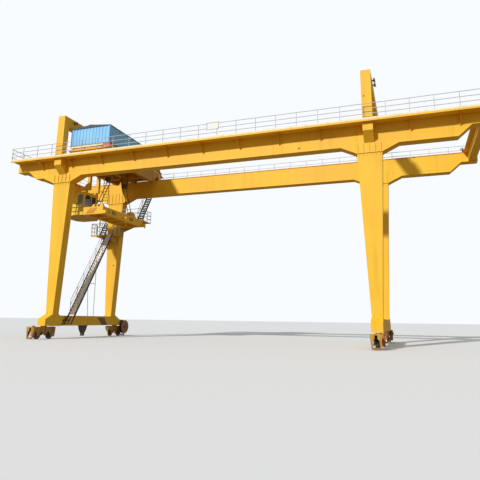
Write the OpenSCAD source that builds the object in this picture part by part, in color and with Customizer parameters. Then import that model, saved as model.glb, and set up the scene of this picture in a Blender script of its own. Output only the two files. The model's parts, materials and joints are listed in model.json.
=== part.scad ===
// Container gantry crane on rails: two box girders on four tapered box legs,
// saddle frames over the girders, a trolley with a machine house, a hanging
// driver's cab and a spreader. X runs along the girders, Y along the rails.

/* [Overall] */
// Distance between the left and the right leg rows
span = 23250; // [20000:250:26000]
// Girder length past the left legs
reach_left = 4400; // [4000:100:5600]
// Girder length past the right legs
reach_right = 7000; // [5000:100:8000]
// Distance between the two girders, centre to centre
gauge = 7350; // [7200:50:8000]

/* [Girders] */
// Width of a girder over its webs
girder_w = 650; // [600:10:760]
// Depth of a girder between the legs
girder_h = 1400; // [1200:20:1700]
// Depth of a girder at its raised ends
girder_end_h = 730; // [600:10:900]
// Length of the raised ends
girder_end_l = 1100; // [900:20:1300]
// Length of the slope to the raised end
girder_slope_l = 790; // [600:10:1000]
// Thickness of flange plates
flange_t = 25; // [16:1:40]
// How far flange plates stand out past the webs
flange_out = 50; // [30:5:70]
// Height of the haunch between a leg and the girder
haunch_h = 450; // [350:10:600]
// Half length of the haunch at the girder
haunch_half = 1780; // [1500:20:2100]
// Height of the trolley rail
rail_h = 120; // [80:5:150]
// Width of the trolley rail
rail_w = 90; // [60:5:110]

/* [Legs] */
// Width of a leg at its top
leg_top_w = 1540; // [1400:10:1800]
// Width of a leg at its foot
leg_foot_w = 620; // [500:10:680]
// Height of a leg
leg_h = 10040; // [9000:20:10600]
// Thickness of the plates at a leg's top and foot
joint_t = 30; // [20:1:45]

/* [Sills and saddles] */
// Height of a sill's underside
sill_z = 920; // [900:10:1000]
// Height of a sill
sill_h = 740; // [640:10:800]
// Width of a sill
sill_w = 680; // [640:10:720]
// How far a sill runs out past a leg
sill_out = 730; // [600:10:900]
// Height of the curved neck between a sill and a leg
neck_h = 100; // [60:5:160]
// Width of a saddle frame
saddle_w = 620; // [500:10:700]
// Thickness of a saddle's posts
saddle_post = 550; // [450:10:650]
// Height from the girder's top to the saddle's underside
saddle_clear = 2650; // [2640:10:3200]
// Depth of a saddle's cross beam
saddle_beam = 750; // [600:10:900]

/* [Walkways] */
// Width of a walkway past the girder
walk_w = 900; // [860:10:1100]
// Height of a railing
rail_top = 1000; // [900:10:1150]
// Distance between railing posts
post_pitch = 1380; // [1200:10:1600]
// Thickness of railing bars
bar = 32; // [26:1:50]

/* [Travel gear] */
// Radius of a travelling wheel's tread
wheel_r = 270; // [240:5:275]
// Half the distance between a bogie's two wheels
bogie_half = 620; // [600:10:700]
// How far a bogie's pin lies outside the leg's centre
bogie_pin_out = 780; // [700:5:790]
// Radius of the bogie pin
pin_r = 45; // [35:1:50]
// Running clearance of pins and axles
run = 0.3; // [0.1:0.05:0.5]

/* [Trolley] */
// Distance from the left legs to the trolley's centre
trolley_at = 2300; // [2250:10:2500]
// Length of the trolley along the girders
trolley_l = 3900; // [3700:20:4000]
// Radius of a trolley wheel
trolley_wheel_r = 200; // [180:5:210]
// Length of the machine house along the rails
house_y = 8000; // [7600:20:8080]
// Width of the machine house along the girders
house_x = 3570; // [3400:10:3800]
// Height of the house's walls
house_h = 1430; // [1300:10:1440]
// Rise of the house's roof
house_rise = 200; // [100:5:210]
// Width of one rib of the house's sheeting
rib_pitch = 300; // [240:10:400]
// Depth of the ribs of the sheeting
rib_d = 36; // [20:1:45]

/* [Cab] */
// Width of the cab along the girders
cab_x = 1350; // [1200:10:1400]
// Length of the cab along the rails
cab_y = 1620; // [1590:10:1700]
// Height of the cab
cab_h = 1980; // [1900:10:2100]
// Thickness of the cab's walls
cab_t = 50; // [40:1:70]

/* [Spreader] */
// Height of the spreader's underside when it rests high under the trolley
spreader_z = 9350; // [9200:10:9500]
// Distance between the twistlocks along the spreader
lock_y = 5853; // [5800:1:5900]
// Distance between the twistlocks across the spreader
lock_x = 2259; // [2200:1:2280]
// Radius of a twistlock's shank
lock_r = 28; // [20:1:30]

/* [Access] */
// Height of the landing by the far left leg
landing_z = 8650; // [8300:10:8800]
// Width of the stair from the sill
stair_w = 615; // [500:5:640]
// Width of the two upper flights
climb_w = 520; // [480:10:530]
// Rise between two treads
tread_rise = 255; // [230:5:280]

/* [Hidden] */
leg_d = girder_w;
half_l = (reach_left + span + reach_right) / 2;
x_left = -half_l + reach_left;
x_right = half_l - reach_right;
y_girder = gauge / 2;
leg_in = y_girder - leg_d / 2;
leg_out = y_girder + leg_d / 2;
sill_top = sill_z + sill_h;
foot_z = sill_top + neck_h;
joint_z = foot_z + leg_h;
girder_z = joint_z + haunch_h;
deck_z = girder_z + girder_h;
end_z = deck_z - girder_end_h;
rail_z = deck_z + rail_h;
walk_edge = leg_out + walk_w;
saddle_face = leg_out + 680;
trolley_x = x_left + trolley_at;
wheel_z = wheel_r + 30;
wheel_tread = 110;
pin_y = y_girder + bogie_pin_out;
pin_z = 620;
lug_half = 240;
climb_x = x_left + 2265;
carriage_z = rail_z + trolley_wheel_r - 100;
rail_gap = 0.4;
carriage_h = 420;
frame_z = carriage_z + carriage_h;
house_z = frame_z + 330;
eps = 0.01;

steel_yellow = [0.93, 0.68, 0.12];
dark_steel = [0.25, 0.2, 0.17];

// Helpers

// Extrudes a drawing of X and Z over a stretch of Y
module xz(y0, y1) {
    translate([0, y1, 0]) rotate([90, 0, 0]) linear_extrude(y1 - y0) children();
}
// Extrudes a drawing of Y and Z over a stretch of X
module yz(x0, x1) {
    translate([x0, 0, 0]) rotate([90, 0, 90]) linear_extrude(x1 - x0) children();
}
// A box from its lowest to its highest corner
module block(low, high) {
    translate(low) cube(high - low);
}
// Turns a piece drawn for the far side (+Y) to the near side (-Y)
module on_side(side) {
    mirror([0, side < 0 ? 1 : 0, 0]) children();
}
// Turns a piece drawn for the right (+X) to the left (-X)
module to_x(side) {
    mirror([side < 0 ? 1 : 0, 0, 0]) children();
}
// A cylinder along X about a point
module rod_x(x0, x1, y, z, r, sides = 48) {
    translate([x0, y, z]) rotate([0, 90, 0]) cylinder(h = x1 - x0, r = r, $fn = sides);
}
function reversed(list) = [for (i = [len(list) - 1 : -1 : 0]) list[i]];
function raised(list, by) = [for (p = list) [p[0], p[1] + by]];

// Girders

// The girder's underside from left to right, with its four haunch corners at each leg
haunch_foot = leg_top_w / 2 + 60;
girder_under = concat(
    [[-half_l, end_z], [-half_l + girder_end_l, end_z],
     [-half_l + girder_end_l + girder_slope_l, girder_z]],
    [for (x = [x_left, x_right]) each
        [[x - haunch_half, girder_z], [x - haunch_foot, joint_z],
         [x + haunch_foot, joint_z], [x + haunch_half, girder_z]]],
    [[half_l - girder_end_l - girder_slope_l, girder_z],
     [half_l - girder_end_l, end_z], [half_l, end_z]]
);
rib_at = [-0.46, -0.23, 0, 0.23, 0.46];

module girder(side) {
    color(steel_yellow) on_side(side) {
        xz(leg_in, leg_out)
            polygon(concat(girder_under, [[half_l, deck_z], [-half_l, deck_z]]));
        // flange plates
        xz(leg_in - flange_out, leg_out + flange_out)
            polygon(concat(girder_under, reversed(raised(girder_under, flange_t))));
        block([-half_l, leg_in - flange_out, deck_z - flange_t],
              [half_l, leg_out + flange_out, deck_z]);
        // ribs on both webs above each leg, taller on the inner web
        for (x = [x_left, x_right], f = rib_at, r = [[leg_in - flange_out, 870], [leg_out, 560]])
            block([x + f * leg_top_w - 9, r[0], joint_z + flange_t - eps],
                  [x + f * leg_top_w + 9, r[0] + flange_out, joint_z + flange_t + r[1]]);
    }
}

module trolley_rails() {
    color(dark_steel) for (side = [-1, 1]) on_side(side)
        yz(-half_l + 350, half_l - 350)
            translate([y_girder, deck_z])
                polygon([[-rail_w / 2, 0], [rail_w / 2, 0], [rail_w / 2, rail_h * 0.18],
                         [rail_w * 0.12, rail_h * 0.32], [rail_w * 0.12, rail_h * 0.66],
                         [rail_w * 0.36, rail_h * 0.75], [rail_w * 0.36, rail_h],
                         [-rail_w * 0.36, rail_h], [-rail_w * 0.36, rail_h * 0.75],
                         [-rail_w * 0.12, rail_h * 0.66], [-rail_w * 0.12, rail_h * 0.32],
                         [-rail_w / 2, rail_h * 0.18]]);
}

// End stops of the trolley's rails: a plate with a raking strut behind it
stop_left = trolley_x - trolley_l / 2 - 460;
stop_right = half_l - 900;
module rail_stop(x, away) {
    translate([x, 0, 0]) to_x(away) {
        block([0, y_girder - 110, rail_z], [30, y_girder + 110, rail_z + 330]);
        xz(y_girder - 15, y_girder + 15)
            polygon([[30 - eps, rail_z], [300, rail_z], [30 - eps, rail_z + 300]]);
        block([-10, y_girder - 90, rail_z], [320, y_girder + 90, rail_z + 20]);
    }
}
module rail_stops() {
    color([0.45, 0.16, 0.1]) for (side = [-1, 1]) on_side(side) {
        rail_stop(stop_left, -1);
        rail_stop(stop_right, 1);
    }
}

// Box beams that tie the two girders at each end
module end_ties() {
    color(steel_yellow) for (x_side = [-1, 1]) to_x(x_side) {
        block([half_l - 620, -leg_in + flange_out, end_z + 60],
              [half_l - 120, leg_in - flange_out, deck_z - 80]);
        // end plates seat on the girders' webs between their flanges
        for (s = [-1, 1]) on_side(s)
            block([half_l - 700, leg_in - flange_out - eps, end_z + 30],
                  [half_l - 40, leg_in, deck_z - walk_t - 5]);
    }
}

// Walkways and railings

bracket_pitch = 2 * post_pitch;
first_post = x_left + 900 - 3 * post_pitch;
function near_post(x) = min(abs(x - x_left), abs(x - x_right)) < saddle_w / 2 + 140;
post_x = [for (x = [first_post : post_pitch : half_l - 100]) if (x > -half_l + 60) x];
bracket_x = [for (x = [first_post - post_pitch : bracket_pitch : half_l - 100])
    if (x > -half_l + 200 && !near_post(x)) x];
walk_t = 40;

module walkway(side) {
    y0 = leg_out + flange_out;
    color(steel_yellow) on_side(side) {
        difference() {
            union() {
                block([-half_l, y0, deck_z - walk_t], [half_l, walk_edge, deck_z]);
                // edge channel
                block([-half_l, walk_edge - 30, deck_z - 130], [half_l, walk_edge, deck_z + 30]);
            }
            // openings where the saddle posts pass
            for (x = [x_left, x_right])
                block([x - saddle_w / 2 - 2, y0 - 1, deck_z - walk_t - 1],
                      [x + saddle_w / 2 + 2, saddle_face + 2, deck_z + 1]);
            // headroom over the last flight of the stairs
            if (side > 0) block([hatch_x0, hatch_y, deck_z - 131], [hatch_x1, walk_edge + 1, deck_z + 31]);
        }
        // V-shaped knee brackets down to the web
        for (x = bracket_x) {
            xz(leg_out, leg_out + flange_out + 12) polygon([
                [x - 260, deck_z - walk_t], [x - 200, deck_z - walk_t], [x + 20, deck_z - 700],
                [x + 20, deck_z - 760], [x - 20, deck_z - 760], [x - 20, deck_z - 700]]);
            yz(x - 8, x + 8) difference() {
                polygon([[leg_out, deck_z - walk_t + eps], [walk_edge - 40, deck_z - walk_t + eps],
                         [walk_edge - 40, deck_z - 110], [leg_out + 60, deck_z - 740], [leg_out, deck_z - 740]]);
                polygon([[leg_out + 70, deck_z - 110], [walk_edge - 160, deck_z - 110],
                         [leg_out + 70, deck_z - 630]]);
            }
        }
    }
}

// Plates across both ends, from girder to girder
module end_walkways() {
    inner = leg_in - flange_out;
    color(steel_yellow) for (x_side = [-1, 1]) to_x(x_side) {
        block([half_l - 900, -inner, deck_z - walk_t], [half_l, inner, deck_z]);
        block([half_l - 30, -inner, deck_z - 130], [half_l, inner, deck_z - walk_t + eps]);
        // stools down to the tie beam
        for (y = [-0.7, 0, 0.7] * inner)
            block([half_l - 560, y - 60, deck_z - 80], [half_l - 180, y + 60, deck_z - walk_t + eps]);
    }
}

rail_levels = [1, 0.66, 0.33];
panel_gap = 12;
// A straight railing along Y or X: posts, three bars and a foot strip
module railing_x(x0, x1, y, z, posts) {
    for (x = posts)
        block([x - bar / 2, y - bar / 2, z], [x + bar / 2, y + bar / 2, z + rail_top]);
    for (f = rail_levels)
        block([x0, y - bar / 2, z + f * rail_top - bar], [x1, y + bar / 2, z + f * rail_top]);
}
module railing_y(y0, y1, x, z, posts) {
    for (y = posts)
        block([x - bar / 2, y - bar / 2, z], [x + bar / 2, y + bar / 2, z + rail_top]);
    for (f = rail_levels)
        block([x - bar / 2, y0, z + f * rail_top - bar], [x + bar / 2, y1, z + f * rail_top]);
}

hatch_x0 = climb_x - 80;
hatch_x1 = climb_x + climb_w + 80;
hatch_y = leg_out + flange_out + 300;
gate_x = hatch_x1 + 640;
module railing(side) {
    y = walk_edge - bar / 2;
    z = deck_z + 30;
    color([0.62, 0.62, 0.6]) on_side(side) {
        if (side < 0) railing_x(-half_l, half_l, y, z, post_x);
        else {
            // the far railing opens where the stairs arrive, and runs round their headroom
            railing_x(-half_l, hatch_x0 - 10, y, z,
                      concat([for (x = post_x) if (x < hatch_x0 - 60) x], [hatch_x0 - 10 - bar / 2]));
            railing_x(gate_x, half_l, y, z,
                      concat([for (x = post_x) if (x > gate_x + 60) x], [gate_x + bar / 2]));
            for (x = [hatch_x0 - 10 - bar / 2, hatch_x1 + 10 + bar / 2])
                railing_y(hatch_y - 10 - bar, walk_edge - bar - panel_gap, x, deck_z,
                          [hatch_y - 10 - bar / 2, walk_edge - 30 - bar]);
            railing_x(hatch_x0 - 10, hatch_x1 + 10, hatch_y - 10 - bar / 2, deck_z, []);
        }
    }
}
module end_railings() {
    y1 = walk_edge - bar - 5;
    color([0.62, 0.62, 0.6]) for (x_side = [-1, 1]) to_x(x_side)
        railing_y(-y1, y1, half_l - bar / 2, deck_z, [for (k = [-4 : 4]) k * (y1 - bar) / 4]);
}

// Bare sheet hung on the near railing
board_x = x_left + 12570;
module board() {
    color([0.88, 0.87, 0.83])
        block([board_x, -walk_edge - 14, deck_z + 560], [board_x + 880, -walk_edge - 0.3, deck_z + 1070]);
}

// Legs, sills and saddles

function leg_half(z) = (leg_foot_w + (leg_top_w - leg_foot_w) * (z - foot_z) / leg_h) / 2;

module leg(x, side) {
    color(steel_yellow) translate([x, 0, 0]) on_side(side) {
        xz(leg_in, leg_out) polygon([
            [-leg_foot_w / 2, foot_z], [leg_foot_w / 2, foot_z],
            [leg_top_w / 2, joint_z], [-leg_top_w / 2, joint_z]]);
        // joint plate under the haunch
        block([-haunch_foot, leg_in - flange_out, joint_z - joint_t],
              [haunch_foot, leg_out + flange_out, joint_z]);
        // gussets under the joint plate and on the foot
        for (f = [-0.42 : 0.168 : 0.421], s = [0, 1]) {
            y = s == 0 ? leg_in : leg_out;
            out = s == 0 ? -flange_out : flange_out;
            yz(f * leg_top_w - 8, f * leg_top_w + 8)
                polygon([[y, joint_z - joint_t], [y + out, joint_z - joint_t],
                         [y + out * 0.4, joint_z - joint_t - 190], [y, joint_z - joint_t - 230]]);
        }
        block([-leg_foot_w / 2 - 20, leg_in - 20, foot_z], [leg_foot_w / 2 + 20, leg_out + 20, foot_z + 20]);
        for (x = [-0.28, 0.28] * leg_foot_w, s = [0, 1]) {
            y = s == 0 ? leg_in : leg_out;
            out = s == 0 ? -45 : 45;
            yz(x - 8, x + 8) polygon([[y, foot_z], [y + out, foot_z],
                                      [y + out * 0.3, foot_z + 210], [y, foot_z + 230]]);
        }
    }
}

// Concave quarter from a leg's face down to a sill's top, as points of Y and Z
function neck_curve(y, dir) = [for (a = [0 : 15 : 90])
    [y + dir * neck_h * 1.6 * (1 - sin(90 - a)), foot_z - neck_h * (1 - cos(90 - a))]];
end_shoulder = 330;
function sill_half_profile() = concat(
    [[leg_out + sill_out, sill_z], [leg_out + sill_out, sill_top - end_shoulder + 60]],
    [[leg_out + 60, foot_z - 25], [leg_out + 20, foot_z], [leg_in - 20, foot_z]],
    [for (a = [0 : 15 : 90]) [leg_in - 20 - neck_h * 1.6 * (1 - cos(a)), foot_z - neck_h * sin(a)]]
);
module sill(x) {
    right = sill_half_profile();
    left = [for (p = reversed(right)) [-p[0], p[1]]];
    color(steel_yellow) {
        yz(x - sill_w / 2, x + sill_w / 2) polygon(concat(right, left));
        // lugs that hold the bogie pins
        for (side = [-1, 1], s = [-1, 1]) on_side(side) difference() {
            yz(x + s * 75 - 18, x + s * 75 + 18) polygon([
                [pin_y - lug_half, sill_z + eps], [pin_y - 110, pin_z - 60], [pin_y - 60, pin_z - 110],
                [pin_y + 60, pin_z - 110], [pin_y + 110, pin_z - 60], [pin_y + lug_half, sill_z + eps]]);
            rod_x(x + s * 75 - 30, x + s * 75 + 30, pin_y, pin_z, pin_r + run);
        }
    }
}

module saddle(x) {
    post_in = saddle_face - saddle_post;
    top = deck_z + saddle_clear + saddle_beam;
    side_pts = [
        [leg_out, deck_z - 1230], [saddle_face, deck_z - 640], [saddle_face, top]];
    inner_pts = [
        [post_in, deck_z + saddle_clear], [post_in, deck_z],
        [leg_out + flange_out, deck_z], [leg_out + flange_out, deck_z - flange_t],
        [leg_out, deck_z - flange_t]];
    right = concat(side_pts, [for (p = reversed(side_pts)) [-p[0], p[1]]]);
    left_in = [for (p = reversed(inner_pts)) [-p[0], p[1]]];
    color(steel_yellow)
        yz(x - saddle_w / 2, x + saddle_w / 2)
            polygon(concat(right, left_in, inner_pts));
}

// Anchors that hang below the middle of each sill
module rail_clamps() {
    color(dark_steel) for (x = [x_left, x_right]) {
        block([x - 160, -470, sill_z - 30], [x + 160, 470, sill_z]);
        yz(x - 120, x + 120) polygon([[-420, sill_z - 30 + eps], [420, sill_z - 30 + eps],
            [330, sill_z - 330], [120, 320], [110, 110], [-110, 110], [-120, 320], [-330, sill_z - 330]]);
    }
}

// Access

stair_slope = 1.69;
string_t = 30;
string_drop = 300;
tread_t = 25;
tube = 26;
stair_x0 = x_left + sill_w / 2 + 20;
stair_foot_z = 1000;
stair_head = leg_in - 1550;
stair_foot = stair_head - (landing_z - stair_foot_z) / stair_slope;
function stair_z(y) = stair_foot_z + (y - stair_foot) * stair_slope;

// A flight is drawn from its foot at the origin, rising towards +Y.
// Two stringers, cut level at both ends
module stringers(rise, w) {
    run_y = rise / stair_slope;
    lean = string_drop / 2 / stair_slope;
    for (x = [0, w - string_t])
        yz(x, x + string_t) polygon([[-lean, 0], [lean, 0], [run_y, rise - string_drop / 2],
                                     [run_y, rise], [run_y - lean, rise]]);
}
// Treads with a closed riser at the back of each, from a height above the foot
module closed_treads(rise, w, from_z) {
    steps = round(rise / tread_rise);
    up = rise / steps;
    deep = up / stair_slope;
    for (k = [1 : steps - 1]) if (k * up > from_z)
        translate([0, k * deep, k * up]) yz(string_t, w - string_t) polygon([
            [-deep / 2, -tread_t], [deep / 2, -tread_t], [deep / 2, up - tread_t - 6],
            [deep / 2 - 8, up - tread_t - 6], [deep / 2 - 8, 0], [-deep / 2, 0]]);
}
// Thick open treads
module open_treads(rise, w) {
    steps = round(rise / tread_rise);
    for (k = [1 : steps - 1])
        translate([0, k * rise / steps / stair_slope, k * rise / steps])
            block([string_t, -95, -70], [w - string_t, 95, 0]);
}
// Thin handrail on a stringer's outer face: posts and two bars, from a distance past the foot
module hand_rail(rise, x, from_y) {
    run_y = rise / stair_slope;
    for (h = [880, 460])
        yz(x, x + tube) polygon([[from_y, from_y * stair_slope + h], [run_y, rise + h],
                                 [run_y, rise + h + 2 * tube], [from_y, from_y * stair_slope + h + 2 * tube]]);
    bays = max(1, round((run_y - from_y) / 640));
    for (k = [0 : bays]) {
        y = from_y + tube / 2 + k * (run_y - from_y - tube) / bays;
        block([x, y - tube / 2, y * stair_slope - 90], [x + tube, y + tube / 2, y * stair_slope + 880 + tube]);
    }
}

// Three flights: from the sill to the lower landing, up beside the leg, and out to the walkway
upper_z = landing_z + 1450;
side_x = x_left - 1265;
side_head = leg_in + 450;
climb_head = walk_edge + 720;
module place_stair() {
    translate([stair_x0, stair_foot, stair_foot_z]) children();
}
module place_side() {
    translate([side_x, side_head - (upper_z - landing_z) / stair_slope, landing_z]) children();
}
module place_climb() {
    translate([climb_x, climb_head - (deck_z - upper_z) / stair_slope, upper_z]) children();
}
module stair() {
    color([0.2, 0.19, 0.18]) {
        place_stair() stringers(landing_z - stair_foot_z, stair_w);
        // raking plates and a bar that fix the foot to the sill's side
        side = x_left + sill_w / 2;
        for (y = [stair_foot - 290, stair_foot + 350])
            yz(side, stair_x0) polygon([[y, 960], [y + 90, 960], [y + 90 + 380, 960 + 380 * stair_slope],
                                        [y + 380, 960 + 380 * stair_slope]]);
        block([side, stair_foot - 200, 1280], [stair_x0 + eps, stair_foot + 680, 1370]);
    }
}
module stair_treads() {
    color([0.78, 0.72, 0.6]) place_stair()
        closed_treads(landing_z - stair_foot_z, stair_w, sill_top + 60 - stair_foot_z);
}
module upper_stairs() {
    color([0.2, 0.19, 0.18]) {
        place_side() stringers(upper_z - landing_z, climb_w);
        place_climb() stringers(deck_z - upper_z, climb_w);
    }
}
module upper_treads() {
    color([0.2, 0.19, 0.18]) {
        place_side() open_treads(upper_z - landing_z, climb_w);
        place_climb() open_treads(deck_z - upper_z, climb_w);
    }
}

// Slim post from the sill's top up to the side of the stair's stringer
post_x0 = x_left + 205;
slim = 40;
module slim_post(foot_y, head_y) {
    z1 = stair_z(head_y) - 40;
    yz(post_x0, post_x0 + slim) polygon([[foot_y - slim / 2, sill_top], [foot_y + slim / 2, sill_top],
                                         [head_y + slim / 2, z1], [head_y - slim / 2, z1]]);
    block([post_x0, head_y - slim / 2, z1 - 70], [stair_x0, head_y + slim / 2, z1]);
}
module stair_rails() {
    color([0.62, 0.62, 0.6]) {
        place_stair() for (x = [-tube, stair_w]) hand_rail(landing_z - stair_foot_z, x, 560);
        place_side() hand_rail(upper_z - landing_z, -tube, 60);
        place_climb() for (x = [-tube, climb_w]) hand_rail(deck_z - upper_z, x, 60);
        slim_post(200, -200);
        slim_post(950, 850);
        block([post_x0, -100, 4280], [post_x0 + slim, 910, 4320]);
    }
}

landing_t = 50;
landing_x1 = stair_x0 + stair_w + 70;
upper_near = leg_in - 290;
upper_x1 = hatch_x1;
head_far = climb_head + 110;
module landings() {
    leg_side = x_left + leg_half(upper_z) + 30;
    color([0.72, 0.5, 0.12]) {
        // lower landing on the near face of the far left leg
        block([side_x, stair_head, landing_z - landing_t], [landing_x1, leg_in, landing_z]);
        block([side_x, stair_head, landing_z - 150], [landing_x1, stair_head + 60, landing_z - landing_t + eps]);
        for (x = [-400, 400])
            yz(x_left + x - 20, x_left + x + 20) polygon([
                [stair_head + 60 - eps, landing_z - landing_t + eps], [leg_in, landing_z - landing_t + eps],
                [leg_in, landing_z - 750], [stair_head + 60 - eps, landing_z - 130]]);
        // cabinets that stand on it
        for (x = [landing_x1 - 760, landing_x1 - 380])
            block([x, leg_in - 420, landing_z - eps], [x + 330, leg_in - 40, landing_z + 780]);
        // upper landing round the leg's far face
        translate([0, 0, upper_z - landing_t]) linear_extrude(landing_t) polygon([
            [side_x, side_head], [side_x + climb_w + 10, side_head], [side_x + climb_w + 10, leg_out],
            [leg_side, leg_out], [leg_side, upper_near], [upper_x1, upper_near],
            [upper_x1, walk_edge], [side_x, walk_edge]]);
        xz(leg_out, leg_out + 40) polygon([
            [side_x + 60, upper_z - landing_t + eps], [upper_x1 - 60, upper_z - landing_t + eps],
            [upper_x1 - 60, upper_z - 120], [x_left + leg_half(upper_z - 900) - 40, upper_z - 900],
            [x_left - leg_half(upper_z - 900) + 40, upper_z - 900], [side_x + 60, upper_z - 120]]);
        // head of the last flight, fixed to the walkway's edge
        translate([0, 0, deck_z - landing_t]) linear_extrude(landing_t) polygon([
            [climb_x, climb_head], [hatch_x1, climb_head], [hatch_x1, walk_edge], [gate_x, walk_edge],
            [gate_x, head_far], [climb_x, head_far]]);
        for (x = [hatch_x1, gate_x - 40])
            yz(x, x + 40) polygon([[walk_edge, deck_z - landing_t + eps], [head_far - 60, deck_z - landing_t + eps],
                                   [head_far - 60, deck_z - 90], [walk_edge, deck_z - 128]]);
    }
}

module landing_railings() {
    b = bar / 2;
    color([0.62, 0.62, 0.6]) {
        // lower landing
        railing_x(side_x, stair_x0 - 70, stair_head + b, landing_z,
                  [side_x + b, side_x + 540, side_x + 1080, stair_x0 - 70 - b]);
        railing_y(stair_head + bar, stair_head + 900, side_x + b, landing_z, [stair_head + 450, stair_head + 900 - b]);
        railing_y(stair_head + 40, leg_in, landing_x1 - b, landing_z,
                  [for (k = [0 : 2]) stair_head + 40 + b + k * (leg_in - stair_head - 40 - bar) / 2]);
        // upper landing
        railing_x(side_x, upper_x1, walk_edge - b, upper_z,
                  [for (k = [0 : 4]) side_x + b + k * (upper_x1 - side_x - bar) / 4]);
        railing_y(side_head, walk_edge - bar, side_x + b, upper_z, [side_head + b, side_head + 540]);
        railing_y(upper_near, walk_edge - bar, upper_x1 - b, upper_z,
                  [for (k = [0 : 2]) upper_near + b + k * (walk_edge - upper_near - 2 * bar) / 3]);
        railing_x(x_left + leg_half(upper_z + rail_top) + 60, upper_x1 - bar, upper_near + b, upper_z,
                  [x_left + leg_half(upper_z + rail_top) + 60 + b, climb_x - 500]);
        // head of the last flight
        railing_x(climb_x, gate_x, head_far - b, deck_z, [climb_x + b, hatch_x1, gate_x - b]);
        railing_y(walk_edge + 60, head_far - bar, gate_x - b, deck_z, [walk_edge + 60 + b, walk_edge + 430]);
    }
}

// Power cable reel beside the far left bogie, on a box that stands out from the sill's end
reel_y = 5140;
reel_z = 780;
reel_r = 570;
module cable_reel() {
    end = leg_out + sill_out;
    color([0.85, 0.6, 0.12]) translate([x_left, 0, 0]) {
        yz(-120, 345 + eps) polygon([[end, 950], [end + 810, 950], [end + 810, 1180], [end + 520, 1385], [end, 1385]]);
        block([345, reel_y - 190, reel_z - 170], [375, reel_y + 190, 1300]);
        rod_x(375 - eps, 420, reel_y, reel_z, 110, 32);
        rod_x(420 - eps, 440, reel_y, reel_z, reel_r, 48);
        rod_x(440 - eps, 640, reel_y, reel_z, reel_r - 90, 48);
        rod_x(640 - eps, 660, reel_y, reel_z, reel_r, 48);
        rod_x(660 - eps, 720, reel_y, reel_z, 120, 32);
    }
}

// Travelling bogies

plate_x = 160;
plate_t = 28;
bogie_top = 850;
bearing_x = plate_x + plate_t / 2 + 34;
outer_y = 1270;
inner_y = -1060;

// Side plate of a bogie: top chord, V in the middle, a pedestal at each axle
module bogie_side() {
    polygon([[inner_y, bogie_top - 40], [inner_y + 60, bogie_top], [outer_y, bogie_top],
        [outer_y, 560],
        [bogie_half + 300, 520], [bogie_half + 140, 380], [bogie_half + 110, 190],
        [bogie_half - 110, 190], [bogie_half - 140, 400], [bogie_half - 330, 560],
        [90, 250], [-90, 250],
        [-bogie_half + 330, 560], [-bogie_half + 140, 400], [-bogie_half + 110, 190],
        [-bogie_half - 110, 190], [-bogie_half - 140, 380], [-bogie_half - 300, 520],
        [inner_y, 600]]);
}

module bogie_local() {
    difference() {
        union() {
            for (s = [-1, 1])
                yz(s * plate_x - plate_t / 2, s * plate_x + plate_t / 2) bogie_side();
            // cover plates between the side plates, clear of the pin lugs
            block([-plate_x - 20, 300, bogie_top - 24], [plate_x + 20, outer_y, bogie_top]);
            block([-plate_x - 20, inner_y + 60, bogie_top - 24], [plate_x + 20, -300, bogie_top]);
            for (y = [-300, 276])
                block([-plate_x, y, 640], [plate_x, y + 24, bogie_top - 20]);
            // bearing blocks outside the side plates
            for (y = [-bogie_half, bogie_half], s = [-1, 1])
                to_x(s) rod_x(plate_x + plate_t / 2 - eps, bearing_x, y, wheel_z, 92);
        }
        for (y = [-bogie_half, bogie_half])
            rod_x(-400, 400, y, wheel_z, 50 + run);
    }
    // pin through the sill's lugs
    rod_x(-plate_x - plate_t, plate_x + plate_t, 0, pin_z, pin_r);
    // end frame with its window
    difference() {
        xz(outer_y, outer_y + 26) polygon([[-335, bogie_top + 20], [335, bogie_top + 20],
            [335, bogie_top - 60], [245, 40], [-245, 40], [-335, bogie_top - 60]]);
        xz(outer_y - 1, outer_y + 27) polygon([[-185, 150], [185, 150], [185, 500], [75, 600],
            [75, 800], [-75, 800], [-75, 600], [-185, 500]]);
    }
    // brackets from the side plates to the end frame
    for (s = [-1, 1])
        yz(s * 215 - 12, s * 215 + 12) polygon([[outer_y - 420, bogie_top - 30],
            [outer_y + eps, bogie_top - 30], [outer_y + eps, 120], [outer_y - 60, 120]]);
    for (s = [-1, 1])
        block([s * 195 - 40, outer_y - 330, bogie_top - 60], [s * 195 + 40, outer_y - 250, bogie_top - 30 + eps]);
}

module bogie(x_side, side) {
    x = x_side < 0 ? x_left : x_right;
    color(steel_yellow) translate([x, 0, 0]) on_side(side) translate([0, pin_y, 0])
        bogie_local();
}

// Upright geared motor on the outer wheel's axle
module drive(x_side, side) {
    x = x_side < 0 ? x_left : x_right;
    xg = bearing_x;
    color([0.66, 0.3, 0.12])
        translate([x, 0, 0]) to_x(x_side) on_side(side)
            translate([xg, pin_y + bogie_half, 0]) {
                difference() {
                    union() {
                        block([8, -130, wheel_z - 130], [230, 130, wheel_z + 150]);
                        rod_x(0, 30, 0, wheel_z, 120, 32);
                    }
                    rod_x(-10, 120, 0, wheel_z, 50 + run);
                }
                translate([140, 0, wheel_z + 150 - eps]) cylinder(h = 60, r = 110, $fn = 32);
                translate([140, 0, wheel_z + 210 - 2 * eps]) cylinder(h = 330, r = 95, $fn = 32);
                translate([140, 0, wheel_z + 540 - 3 * eps]) cylinder(h = 60, r = 102, $fn = 32);
            }
}

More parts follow.
